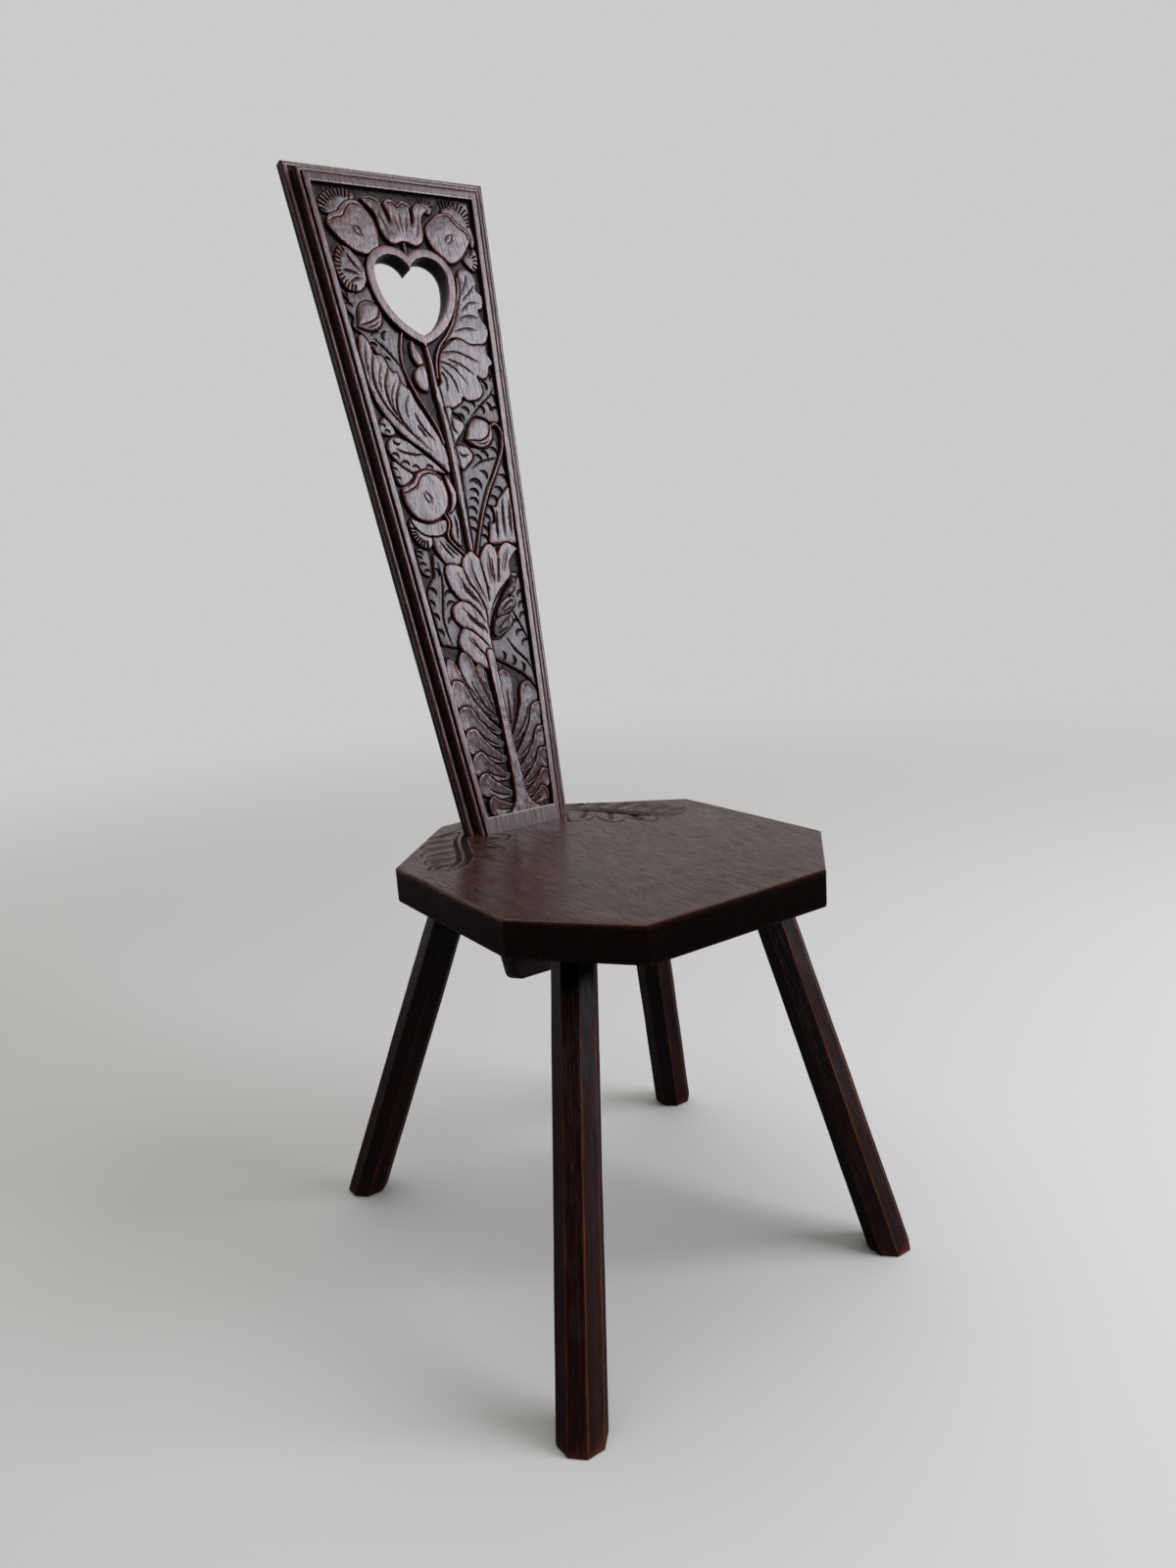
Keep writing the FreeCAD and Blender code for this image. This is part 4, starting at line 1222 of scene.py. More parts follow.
panel.lay([(-1, 316), (-8, 322), (-18, 332), (-28, 340), (-38, 348), (-48, 360), (-55, 372), (-60, 386),
           (-62.5, 402), (-63.5, 420), (-62, 433), (-58, 436), (-53, 429), (-51, 420), (-47, 419),
           (-43, 418), (-40, 409), (-37, 404), (-33, 404), (-31, 396), (-27, 391), (-24, 389),
           (-20, 378), (-12, 362), (-6, 350), (-1, 338)], -1.6, wall=1.2, dome=0.3, reach=8)
for path in ([(-52, 421), (-55, 408), (-56, 394), (-51, 378), (-42, 364), (-30, 350), (-14, 334)],
             [(-41, 407), (-46, 394), (-46, 380), (-40, 366), (-30, 352)],
             [(-32, 395), (-38, 382), (-39, 368), (-33, 354), (-20, 341)],
             [(-24, 368), (-19, 356), (-9, 344)], [(-23, 357), (-17, 347)]):
    panel.gouge(path, 2.0, 1.2, start=0.5)
for path in ([(-58, 428), (-60, 412), (-59, 396)], [(-46, 413), (-51, 398), (-51, 386)],
             [(-35, 399), (-42, 385), (-43, 372)], [(-26, 386), (-31, 374), (-31, 362)]):
    panel.gouge(path, 1.3, 0.6)
SERRATED_LEAVES = [
    [(-60, 352), (-59, 358), (-54, 365), (-49, 361), (-45, 351), (-52, 349)],
    [(-56, 338), (-53, 345), (-46, 348), (-36, 344), (-24, 334), (-12, 323), (-5, 315), (-14, 317),
     (-28, 318), (-38, 317), (-46, 323), (-53, 331)],
    [(-55, 324), (-52, 327), (-45, 321), (-37, 315), (-40, 310), (-46, 306), (-51, 306), (-54, 313)],
]
for outline in SERRATED_LEAVES:
    panel.lay(outline, -2.4, wall=1.2, dome=0.5, reach=5)
panel.gouge([(-49, 338), (-40, 334), (-30, 332), (-22, 333)], 1.8, 1.2)
for x, y, size, turn in ((-46, 344, 3.6, 250), (-50, 331, 3.8, 70), (-42, 324, 4.0, 70),
                         (-33, 320, 3.8, 70), (-20, 320, 3.8, 70), (-53, 319, 2.8, 80),
                         (-52, 311, 3.0, 80), (-56, 357, 2.8, 60), (-53, 352, 2.8, 60)):
    panel.nick(x, y, size, turn, 1.5)
print("great leaves carved")

# %% Stem, small leaves and the right bud
panel.lay([(-12, 433), (-8, 425), (-5, 416), (-6, 411), (-11, 411), (-15, 418), (-15, 428)], -1.8,
          wall=1.8, dome=0.5, reach=3)
panel.lay([(-4, 409), (-10, 410), (-16, 404), (-17, 397), (-13, 390), (-5, 389)], -1.7, wall=1.8,
          dome=0.5, reach=3)
panel.stem([(-20, 439), (-24, 426), (-25, 412), (-22.5, 398), (-17, 383), (-9, 367), (-4, 355),
            (-1, 342)], [2.8, 3.0, 3.2, 3.4], -1.4)
panel.lay([(7, 372), (14, 372), (13, 366), (20, 362), (23, 357), (18, 350), (13, 345), (8, 338),
           (6, 352)], -2.2, wall=1.4, dome=0.3)
panel.gouge([(12, 368), (11, 356), (15, 350)], 2.0, 1.1)
panel.lay([(8, 336), (13, 340), (20, 339), (25, 333), (24, 327), (18, 322), (13, 318), (8, 324)], -2.0,
          wall=1.6, dome=0.3)
panel.gouge([(11, 334), (16, 330), (21, 332)], 2.2, 1.1)
panel.stem([(1, 427), (2, 410), (2, 390), (4, 365), (5, 340), (5.5, 318), (5, 300), (4.5, 275),
            (4, 250), (4, 238)], [5, 5, 5.5, 6.5, 8, 9.5, 8.5, 7, 5.5, 5], -0.9, flat=4)
panel.stem([(49, 357), (54, 359), (58, 355), (59, 347), (56, 335), (50, 324), (42, 311), (34, 299),
            (27, 286), (20, 271), (14, 256), (9, 242)], [3, 3.2, 3.4, 3.4, 3.2, 3.0], -1.2)
panel.lay([(21, 345), (21, 345), (25, 354), (31, 362), (38, 364), (45, 362), (50, 355), (49, 346),
           (43, 339), (35, 337), (27, 340)], -1.4, wall=3.0, dome=0.9, reach=5)
panel.gouge([(25, 344), (35, 343.5), (43, 347), (47, 354), (47, 360)], 1.8, 1.5, start=0.6, end=0.6)
panel.gouge([(29, 342), (38, 340.5), (45, 344)], 1.2, 0.8)
panel.lay([(55, 301), (48, 296), (41, 289), (41, 289), (38, 284), (34, 284), (34, 284), (35, 277),
           (34, 270), (28, 269), (28, 269), (26, 260), (24, 252), (32, 250), (42, 251), (51, 250),
           (52, 262), (54, 274), (54.5, 288)], -1.9, wall=1.5, dome=0.4, reach=6)
for path in ([(46, 292), (43, 275), (41, 256)], [(53, 290), (50, 274), (48, 256)],
             [(37, 280), (35, 268), (33, 254)]):
    panel.gouge(path, 2.6, 1.3)
print("stem and right bud carved")

# %% Middle poppy with its calyx
panel.lay([(-11, 280), (-4, 285), (-1.5, 275), (-2, 262), (-4, 251), (-9, 254), (-12, 262),
           (-9.5, 270)], -2.5, wall=1.2, dome=0.4)
panel.gouge([(-6, 279), (-5, 267), (-7, 256)], 1.8, 1.2)
panel.lay([(-30, 261), (-20, 260), (-17, 255), (-10, 248), (-4, 241), (-8, 235), (-15, 232), (-22, 235),
           (-28, 244), (-31, 252)], -2.4, wall=1.3, dome=0.5)
for path in ([(-25, 257), (-20, 248), (-14, 240)], [(-20, 255), (-15, 248), (-9, 242)]):
    panel.gouge(path, 1.8, 1.2)
panel.lay([(-49, 276), (-50, 266), (-47, 258), (-42, 252), (-35, 250), (-31, 256), (-33, 262),
           (-42, 268)], -2.3, wall=1.4, dome=0.3)
panel.fringe((-36, 265), 15, 15, 165, 265, 8, inner=0.5)
panel.stem([(-15, 280), (-12, 271), (-15.5, 261), (-13, 254), (-3, 243)], [2.8, 3.0, 3.2], -1.3)
panel.lay([(-7, 314), (-2, 306), (0.5, 297), (-2, 287), (-9, 280), (-5.5, 289), (-5, 298), (-7, 307)],
          -1.6, wall=1.2)
panel.lay([(-48, 277), (-45, 269), (-37, 262), (-25, 260.5), (-17, 264), (-14.5, 273), (-20, 274),
           (-31, 271), (-41, 274)], -1.5, wall=1.5, dome=-0.5, reach=3)
panel.bloom([(-50, 303), (-42, 306), (-37, 310), (-33, 316), (-25, 318.5), (-17, 317), (-12, 312),
             (-9, 305), (-8, 295), (-10, 287), (-15, 280), (-22, 275), (-31, 273), (-40, 276),
             (-46, 282), (-50, 291)],
            [(-50, 298), (-42, 301.5), (-36, 305), (-32, 311), (-26, 315), (-17, 314.5), (-12, 309)],
            (-28, 294), 115)
print("middle poppy carved")

# %% Acanthus
TURNED_LEAF = [
    ([(38, 216), (41, 220), (41, 213), (38, 207.5), (32, 204), (25, 200), (29, 206)], (41, 214),
     (28, 204)),
    ([(22, 196), (27, 200), (33, 202.5), (37, 201), (37, 196), (33.5, 191.5), (27, 188), (19, 185),
      (17, 187.5)], (37, 199), (18, 187)),
    ([(15, 183), (22, 186), (28, 186.5), (30.5, 182), (28, 176), (21, 171), (14.5, 168), (11, 170.5),
      (11.5, 176)], (30, 182), (12, 173)),
]
for outline, high, low in TURNED_LEAF:
    panel.lay(outline, -1.3, wall=0.9, dome=-0.4, reach=3, fall=(high, low, 2.0))
for path in ([(40, 216), (36, 212), (31, 207)], [(35, 199), (29, 196), (23, 191)],
             [(28, 184), (22, 180), (15, 174)], [(34, 193), (29, 191), (24, 189)],
             [(25, 175), (20, 173), (15, 171)]):
    panel.gouge(path, 1.4, 1.0, start=0.6)
panel.lay([(3, 141), (-7, 142), (-15, 148), (-22, 155), (-27, 165), (-24, 173), (-20, 179), (-20, 179),
           (-26, 187), (-27, 194), (-24, 199), (-16, 203), (-16, 203), (-23, 212), (-26, 225),
           (-24, 234), (-16, 234.5), (-9, 232), (-9, 232), (-7, 238), (-2, 243), (3, 245), (8, 240),
           (10, 238), (10, 238), (16, 247), (22, 251), (27, 247), (29, 241), (29, 241), (34, 248),
           (41, 251), (51, 245), (51, 245), (44, 239), (39, 232), (38, 222), (31, 215), (22, 207),
           (14, 196), (8, 184), (5, 170), (5, 155)], -0.9, wall=1.2, dome=0.1, reach=6)
ACANTHUS_STROKES = [
    ([(-15, 226), (-11, 214), (-4, 205), (4, 192)], 5, 0.7),
    ([(-12, 222), (-9, 211), (-1, 201)], 1.3, 1.0),
    ([(-17, 195), (-9, 185), (0, 176), (4, 168)], 5, 0.7),
    ([(-14, 193), (-8, 184), (0, 176)], 1.3, 1.0), ([(-17, 169), (-10, 159), (-2, 150)], 5, 0.7),
    ([(-13, 168), (-8, 159), (-2, 151)], 1.3, 1.0),
    ([(-8, 231), (-5, 218), (2, 206), (6, 192), (5, 176)], 2.0, 1.5),
    ([(0, 238), (0, 226), (4, 212), (8, 200)], 4.5, 0.7),
    ([(10, 237), (11, 224), (12, 212), (11, 200)], 2.0, 1.5),
    ([(19, 243), (18, 228), (17, 214)], 4.5, 0.7), ([(22, 238), (21, 226), (20, 215)], 1.4, 0.9),
    ([(29, 240), (27, 228), (24, 216)], 2.0, 1.5), ([(40, 245), (35, 235), (31, 224)], 4.5, 0.7),
    ([(-17, 203), (-9, 200), (-2, 192), (3, 182)], 1.8, 1.5),
    ([(-20, 179), (-12, 176), (-4, 168), (2, 160)], 1.8, 1.5),
]
for path, width, depth in ACANTHUS_STROKES:
    panel.gouge(path, width, depth, start=0.4, end=0.3)
panel.gouge([(38.5, 221), (28.5, 208), (20, 197.5), (13, 186.5), (9.5, 175), (8, 166)], 4.6, 4.2,
            start=0.3, end=0.2)
print("acanthus carved")

# %% Fronds and the foot of the stem
FROND_LOBES = [
    ((-3, 92), (-13, 146), 11, 2), ((-3, 94), (-26, 158), 14, 4), ((-4, 96), (-41, 154), 12, 7),
    ((-3, 84), (-40, 134), 17, 6), ((-3, 73), (-38, 110), 18, 5), ((-3, 60), (-37, 89), 19, 5),
    ((-3, 45), (-35, 67), 19, 4), ((-3, 30), (-34, 48), 18, 4), ((-5, 19), (-29, 26), 15, 3),
    ((7, 86), (10, 139), 15, -1), ((7, 75), (34, 126), 17, -6), ((8, 60), (42, 106), 18, -6),
    ((8, 48), (41, 84), 17, -6), ((9, 36), (39, 64), 16, -5), ((10, 27), (36, 45), 14, -4),
    ((13, 20), (31, 29), 12, -2),
]
for root, tip, width, bend in FROND_LOBES:
    panel.lobe(root, tip, width, bend)
panel.lay([(-18, 12), (-10, 14.5), (-5, 20), (-2, 31), (-1, 60), (-1, 100), (-2, 140), (-2, 156),
           (4, 156), (5, 140), (5, 100), (6, 80), (8, 50), (9, 32), (12, 21), (18, 16), (24, 13),
           (24, 8), (-18, 8)], -0.1, wall=1.0)
print(len(FROND_LOBES), "frond lobes")

# %% Round the heart and above it
panel.lay([(-62, 513), (-67, 505), (-70, 495), (-67, 483), (-62, 475), (-52, 474), (-45, 480),
           (-42, 490), (-45, 500), (-54, 511)], -2.2, wall=1.3, dome=0.6, reach=5)
panel.fringe((-53, 494), 16.5, 21, 118, 262, 13)
for path in ([(-58, 508), (-54, 500), (-47, 492)], [(-65, 492), (-57, 491), (-48, 488)],
             [(-60, 479), (-54, 484), (-47, 486)]):
    panel.gouge(path, 2.6, 1.2)
panel.lay([(-73, 543), (-73, 551), (-68, 557), (-60, 562), (-50, 564), (-42, 562), (-39, 556),
           (-50, 548), (-62, 540)], -2.6, wall=1.2, dome=0.3)
panel.fringe((-51, 537), 24, 27, 68, 201, 15)
panel.lay([(44, 552), (51, 558), (60, 562), (70, 563), (72.5, 556), (71, 545), (73, 530), (69, 521),
           (66, 530), (60, 541)], -2.6, wall=1.2, dome=0.3)
panel.fringe((52, 541), 22, 22, 2, 112, 12)
panel.lay([(57, 510), (64, 517), (71, 520), (72, 508), (67, 500), (61, 503)], -2.4, wall=1.2, dome=0.3)
panel.fringe((60, 509), 11, 11, -45, 51, 5, inner=0.55)
panel.lay([(20, 556), (25, 561), (31, 563), (35, 558), (34, 551), (29, 549)], -2.8, wall=1.2, dome=0.2)
panel.fringe((28, 554), 8, 9, 20, 140, 6, inner=0.55)
panel.stem([(0, 522), (0, 506)], [4.5, 4.5], -1.8)
panel.bloom([(-36, 553), (-30, 545), (-25, 535), (-23.5, 525), (-26, 513), (-33, 508), (-41, 507),
             (-50, 510), (-60, 518), (-67, 526), (-69, 532), (-67, 538), (-62, 541), (-57, 543),
             (-53, 548), (-48, 552), (-42, 554)],
            [(-68, 532), (-62, 536), (-54, 538.5), (-50, 544), (-45, 549.5), (-37, 550)], (-43, 527),
            120)
panel.bloom([(23, 530), (25, 537), (32, 544), (40, 550), (47, 551), (52, 550), (55, 545), (60, 541),
             (66, 537), (68, 531), (67, 527), (62, 519), (55, 511), (48, 506), (41, 505), (35, 510),
             (27, 518)], [(41, 547.5), (49, 548), (53, 543), (58, 538), (64, 534), (66, 528)],
            (45, 527), 55)
panel.lay([(-34, 556), (-34, 556), (-27, 559), (-19, 558), (-15, 553), (-12, 545), (-12, 545),
           (-13, 552), (-10, 557), (-5, 558), (0, 554), (5, 558), (11, 556.5), (13.5, 552), (12.5, 545),
           (12.5, 545), (15, 552), (20, 557), (25, 556), (29, 552), (24, 547), (21, 540), (21, 530),
           (18, 522), (10, 518), (0, 521), (-10, 518), (-17, 522), (-21, 532), (-23, 543), (-28, 550)],
          -1.3, wall=1.3, dome=0.3, reach=5)
for path in ([(-14, 552), (-11, 543), (-10, 536)], [(13, 551), (12.5, 543), (11, 536)]):
    panel.gouge(path, 4.2, 3.4, start=1, end=0.3)
for path in ([(-11, 554), (-5, 555), (0, 551), (5, 555), (11, 553)],
             [(-31, 556), (-24, 556.5), (-18, 554)]):
    panel.gouge(path, 1.6, 1.2, start=0.5, end=0.5)
for path in ([(-7, 547), (-4, 536), (-2, 525)], [(7, 547), (5, 536), (3, 526)],
             [(0, 548), (0, 538), (0, 528)], [(-22, 550), (-17, 538), (-13, 526)],
             [(20, 551), (17, 538), (13, 526)]):
    panel.gouge(path, 1.2, 0.5)
panel.lay([(-60, 443), (-60, 443), (-58, 455), (-54, 463), (-46, 466), (-38, 462), (-35.5, 453),
           (-39, 444), (-47, 439.5), (-54, 440.5)], -1.6, wall=3.0, dome=0.9, reach=5)
panel.gouge([(-57, 444), (-48, 447), (-40, 452), (-37.5, 459)], 1.8, 1.5, start=0.6, end=0.6)
panel.gouge([(-53, 442), (-45, 444), (-39, 449)], 1.2, 0.8)
panel.lay(heart(HEART_RIM), -3.0, wall=1.0, corners=True, set_in=1.0)
print("heights from", panel.height.min().round(2), "to", panel.height.max().round(2))

# %% [markdown]
# ## From heights to a carved panel
#
# A hand-carved surface is never quite flat, so a slow ripple goes over the whole grid first. Wear is
# where the wood stands above its surroundings; painted shade, with some dust, where it lies below them
# and the deeper it lies: both come from the heights compared with a blurred copy. The grid then becomes
# a closed slab with a hole for the heart, and is thinned where it is flat.

# %% Carved panel mesh
PANEL_TRIANGLES = 186000
BLUR_MARGIN = 40
NEAR_BLUR = 0.9
WIDE_BLUR = 4.5


def blurred(values, spread):
    """Gaussian blur of a grid, by its frequencies."""
    padded = np.pad(values, BLUR_MARGIN, mode="edge")
    fy = np.fft.fftfreq(padded.shape[0])[:, None]
    fx = np.fft.rfftfreq(padded.shape[1])[None, :]
    soft = np.exp(-2 * (np.pi * spread) ** 2 * (fx ** 2 + fy ** 2))
    inner = slice(BLUR_MARGIN, -BLUR_MARGIN)
    return np.fft.irfft2(np.fft.rfft2(padded) * soft, padded.shape)[inner, inner]


def rippled(shape, spread, amount, seed):
    """Slow random waves of about the given height."""
    waves = blurred(np.random.default_rng(seed).normal(size=shape), spread)
    return amount * waves / waves.std()


def wear_and_shade_from_heights(height, step):
    """How far each point stands above its surroundings, and how deep it lies below them."""
    near = height - blurred(height, NEAR_BLUR / step)
    wide = height - blurred(height, WIDE_BLUR / step)
    rub = np.clip((near - 0.15) / 0.4, 0, 1) * 0.7 + np.clip((height + 2.6) / 1.6, 0, 1) * 0.4
    # Painted shade with some dust: narrow and wide hollows are darkened, and so is all ground the deeper
    # it lies.
    sunk = np.clip((-1.9 - height) / 1.7, 0, 1)
    hollow = np.clip(-near / 0.5, 0, 1) * 0.7 + np.clip(-(wide + 0.2) / 1.4, 0, 1) * 0.5 + sunk * 0.85
    return np.clip(rub, 0, 1), np.clip(hollow, 0, 1)


def grid_faces(shape):
    """Four-sided faces between the points of a grid."""
    index = np.arange(shape[0] * shape[1]).reshape(shape)
    corners = [index[:-1, :-1], index[:-1, 1:], index[1:, 1:], index[1:, :-1]]
    return np.stack(corners, -1).reshape(-1, 4)


def thinned(mesh, triangles):
    """The same mesh with fewer triangles where it is nearly flat."""
    full = sum(len(face.vertices) - 2 for face in mesh.polygons)
    block = bpy.data.objects.new("block", mesh)
    bpy.context.scene.collection.objects.link(block)
    modifier = block.modifiers.new("thin", "DECIMATE")
    modifier.ratio = min(1.0, triangles / full)
    modifier.use_collapse_triangulate = True
    graph = bpy.context.evaluated_depsgraph_get()
    result = bpy.data.meshes.new_from_object(block.evaluated_get(graph))
    bpy.data.objects.remove(block)
    return result


def look_up(values, spots):
    """Values of a grid at plank places, straight between its points."""
    column = (spots[:, 0] / (panel_half(spots[:, 1]) + UNDER_BORDER) + 1) / 2 * (column_count - 1)
    row = (spots[:, 1] - PANEL_BOTTOM) / (PANEL_TOP - PANEL_BOTTOM) * (row_count - 1)
    c = np.clip(column, 0, column_count - 1.001)
    r = np.clip(row, 0, row_count - 1.001)
    c0, r0 = c.astype(int), r.astype(int)
    fc, fr = c - c0, r - r0
    low = values[r0, c0] * (1 - fc) + values[r0, c0 + 1] * fc
    high = values[r0 + 1, c0] * (1 - fc) + values[r0 + 1, c0 + 1] * fc
    return low * (1 - fr) + high * fr


def make_carved_panel():
    """The heights as a closed slab with a hole for the heart, carrying its wear, dust and painted shade.
    """
    height = panel.height + rippled(panel.height.shape, spread=5 / GRID_STEP, amount=0.09, seed=11)
    on_ground = np.where(panel.height < GROUND + 1, 1, 0.4)
    height += rippled(panel.height.shape, spread=1.3 / GRID_STEP, amount=0.12, seed=12) * on_ground
    rub, hollow = wear_and_shade_from_heights(panel.height, GRID_STEP)
    cells = grid_faces(height.shape)
    seam = heart(HEART_SEAM)
    area = panel.window(seam, 2)
    pierced = np.zeros(height.shape, bool)
    pierced[area] = panel.measure(seam, area, True)[2]
    cells = cells[~pierced.ravel()[cells].all(1)]
    mesh = bpy.data.meshes.new("carved_panel")
    mesh.from_pydata(np.c_[panel.x.ravel(), panel.y.ravel(), height.ravel()].tolist(), [], cells.tolist())
    shape = bmesh.new()
    shape.from_mesh(mesh)
    bmesh.ops.delete(shape, geom=[v for v in shape.verts if not v.link_faces], context="VERTS")
    rim = [edge for edge in shape.edges if len(edge.link_faces) == 1]
    made = bmesh.ops.extrude_edge_only(shape, edges=rim)["geom"]
    for v in made:
        if isinstance(v, bmesh.types.BMVert):
            v.co.z = PANEL_BACK + 0.1
    bottom = [e for e in made if isinstance(e, bmesh.types.BMEdge) and len(e.link_faces) == 1]
    bmesh.ops.triangle_fill(shape, edges=bottom, use_beauty=False)
    bmesh.ops.recalc_face_normals(shape, faces=shape.faces[:])
    mesh = thinned(plain_mesh("carved_panel", shape), PANEL_TRIANGLES)
    spots = places(mesh)
    for word, values in (("rub", rub), ("hollow", hollow)):
        give(mesh, word, np.where(spots[:, 2] > PANEL_BACK + 1, look_up(values, spots), 0))
    stand_in_plank("carved_panel", mesh, sharp=48)


make_carved_panel()

# %% [markdown]
# ## The seat board
#
# One thick oak board sawn to an irregular octagon, planed, and polished by use. Its arris is worn
# round, more in some places than in others, and two low leaves are cut into it beside the foot of
# the plank. The top is a grid with close rows where the leaves are; walls and a flat underside
# close it, and the mortise for the plank, the leg sockets and the peg holes are cut out of it. Light
# linking keeps the window lamp off it, because a level polished board would mirror the whole lamp.

# %% Seat grid
SEAT_TOP = 337.0
SEAT_FRONT = -167.0
SEAT_REAR = 166.5
SEAT_THICKNESS = 28.5
LEFT_CORNERS = np.array([(80, SEAT_FRONT), (153, -92), (151, 75), (45, SEAT_REAR)])
RIGHT_CORNERS = np.array([(-83, SEAT_FRONT), (-146, -88), (-144, 79), (-58, SEAT_REAR)])
SEAT_CORNERS = np.vstack([LEFT_CORNERS, RIGHT_CORNERS[::-1]])
EDGE_STEPS = np.array([0, 0.3, 0.7, 1.2, 1.9, 3.0])
CORNER_STEPS = (-1.6, -0.8, 0, 0.8, 1.6)
LEAVES_FROM = 30
COARSE_ROW = 5
FINE_ROW = 0.85
CLOSEST_ROWS = 0.22
SEAT_COLUMNS = 340
INNER_SHARE = 0.962
EDGE_SHARE = 1 / 110


def seat_across(y, share):
    """Places across the seat, from share -1 on the sitter's right edge to 1 on the left one."""
    left = np.interp(y, LEFT_CORNERS[:, 1], LEFT_CORNERS[:, 0])
    right = np.interp(y, RIGHT_CORNERS[:, 1], RIGHT_CORNERS[:, 0])
    return right[:, None] + (share[None, :] + 1) / 2 * (left - right)[:, None]


def seat_lines():
    """Row places from front to back, and column shares from -1 to 1, close at the edges."""
    turns = SEAT_CORNERS[:, 1]
    near_corners = [corner + step for corner in np.unique(turns)[1:-1] for step in CORNER_STEPS]
    coarse = np.arange(SEAT_FRONT + COARSE_ROW, LEAVES_FROM, COARSE_ROW)
    fine = np.arange(LEAVES_FROM, SEAT_REAR - 3.5, FINE_ROW)
    y = np.concatenate([SEAT_FRONT + EDGE_STEPS, SEAT_REAR - EDGE_STEPS, near_corners, coarse, fine])
    y = np.unique(y.round(3))
    keep = np.insert(np.diff(y) > CLOSEST_ROWS, 0, True) | np.isin(y, turns)
    edge = EDGE_STEPS * EDGE_SHARE
    share = np.concatenate([-1 + edge, np.linspace(-INNER_SHARE, INNER_SHARE, SEAT_COLUMNS), 1 - edge])
    return y[keep], np.unique(share.round(6))


seat_rows, seat_shares = seat_lines()
seat_x = seat_across(seat_rows, seat_shares)
seat = Relief(seat_x, np.repeat(seat_rows[:, None], len(seat_shares), axis=1), 0.0)
print("seat grid", seat.height.shape)

# %% Leaves beside the plank
RIB = [(53, 131), (66, 115), (76, 95), (83, 78), (91, 62), (100, 50), (110, 42)]
RIB_SIDE = (3.3, 1.9)
OUTER_HOLLOWS = [
    [(58, 133), (70, 133), (82, 130)], [(72, 116), (86, 121), (97, 119)],
    [(79, 101), (96, 104), (108, 99)], [(88, 83), (104, 86), (116, 81)],
    [(97, 67), (112, 69), (122, 63)], [(108, 51), (118, 52), (125, 46)],
]
OUTER_EDGES = [
    [(49, 144), (61, 139), (74, 136), (86, 136), (90, 131)],
    [(72, 112), (84, 115), (96, 118), (104, 114), (106, 108)],
    [(80, 95), (94, 98), (107, 98), (114, 93), (116, 87)],
    [(89, 78), (104, 78), (117, 76), (122, 71), (123, 66)],
    [(98, 63), (112, 62), (123, 58), (128, 52), (126, 45)],
    [(126, 45), (119, 40), (110, 38), (102, 37), (94, 43)],
]
INNER_HOLLOWS = [[(62, 111), (52, 99), (42, 90)], [(73, 90), (65, 77), (58, 65)],
                 [(83, 73), (80, 58), (80, 44)]]
INNER_EDGES = [
    [(46, 119), (37, 104), (31, 92), (40, 83), (49, 84), (57, 89)],
    [(57, 89), (54, 76), (56, 59), (65, 58), (73, 65)],
    [(73, 65), (74, 50), (80, 36), (88, 39), (92, 47)],
]


def seat_leaf(side):
    """One low leaf: a rib between two deep grooves, and lobes with a scooped dip and a cut edge each."""
    def turned(points):
        return np.array(points, float) * (side, 1)

    for paths, width, depth in ((OUTER_HOLLOWS, 9, 0.9), (INNER_HOLLOWS, 9, 1.3),
                                (OUTER_EDGES, 2.2, 1.1), (INNER_EDGES, 2.4, 1.3)):
        for path in paths:
            seat.gouge(turned(path), width, depth, start=0.5, end=0.3)
    rib = np.array(RIB, float)
    for shift, width, depth in ((-1, 7.0, 3.4), (1, 5.0, 2.2)):
        seat.gouge(turned(rib + shift * np.array(RIB_SIDE)), width, depth, start=0.4, end=0.2)


for side in (1, -1):
    seat_leaf(side)
print("seat leaves", seat.height.min().round(2), "deep")

# %% Blocks to cut with


def tool_block(points, faces):
    """A closed block to cut with."""
    mesh = bpy.data.meshes.new("cutter")
    mesh.from_pydata([tuple(p) for p in points], [], faces)
    shape = bmesh.new()
    shape.from_mesh(mesh)
    bmesh.ops.triangulate(shape, faces=shape.faces[:])
    bmesh.ops.recalc_face_normals(shape, faces=shape.faces[:])
    shape.to_mesh(mesh)
    shape.free()
    block = bpy.data.objects.new("cutter", mesh)
    bpy.context.scene.collection.objects.link(block)
    return block


def prism(low, high):
    """A closed block between two loops of the same number of points."""
    count = len(low)
    faces = [tuple(range(count)), tuple(range(count, 2 * count))]
    faces += [(k, (k + 1) % count, count + (k + 1) % count, count + k) for k in range(count)]
    return tool_block(np.vstack([low, high]), faces)


def rod(start, end, radius):
    """A round bar to cut with."""
    start, end = np.array(start, float), np.array(end, float)
    axis = Vector(end - start).normalized()
    aside = axis.orthogonal().normalized()
    other = axis.cross(aside)
    turns = np.linspace(0, 2 * math.pi, 48, endpoint=False)
    ring = np.array([radius * (math.cos(turn) * aside + math.sin(turn) * other) for turn in turns])
    return prism(start + ring, end + ring)


def cut_out(mesh, blocks):
    """The mesh with every block cut out of it."""
    board = bpy.data.objects.new("board", mesh)
    bpy.context.scene.collection.objects.link(board)
    for block in blocks:
        modifier = board.modifiers.new("cut", "BOOLEAN")
        modifier.operation = "DIFFERENCE"
        modifier.solver = "MANIFOLD"
        modifier.object = block
    graph = bpy.context.evaluated_depsgraph_get()
    result = bpy.data.meshes.new_from_object(board.evaluated_get(graph))
    for used in (board, *blocks):
        bpy.data.objects.remove(used)
    return result


print("cutting blocks ready")

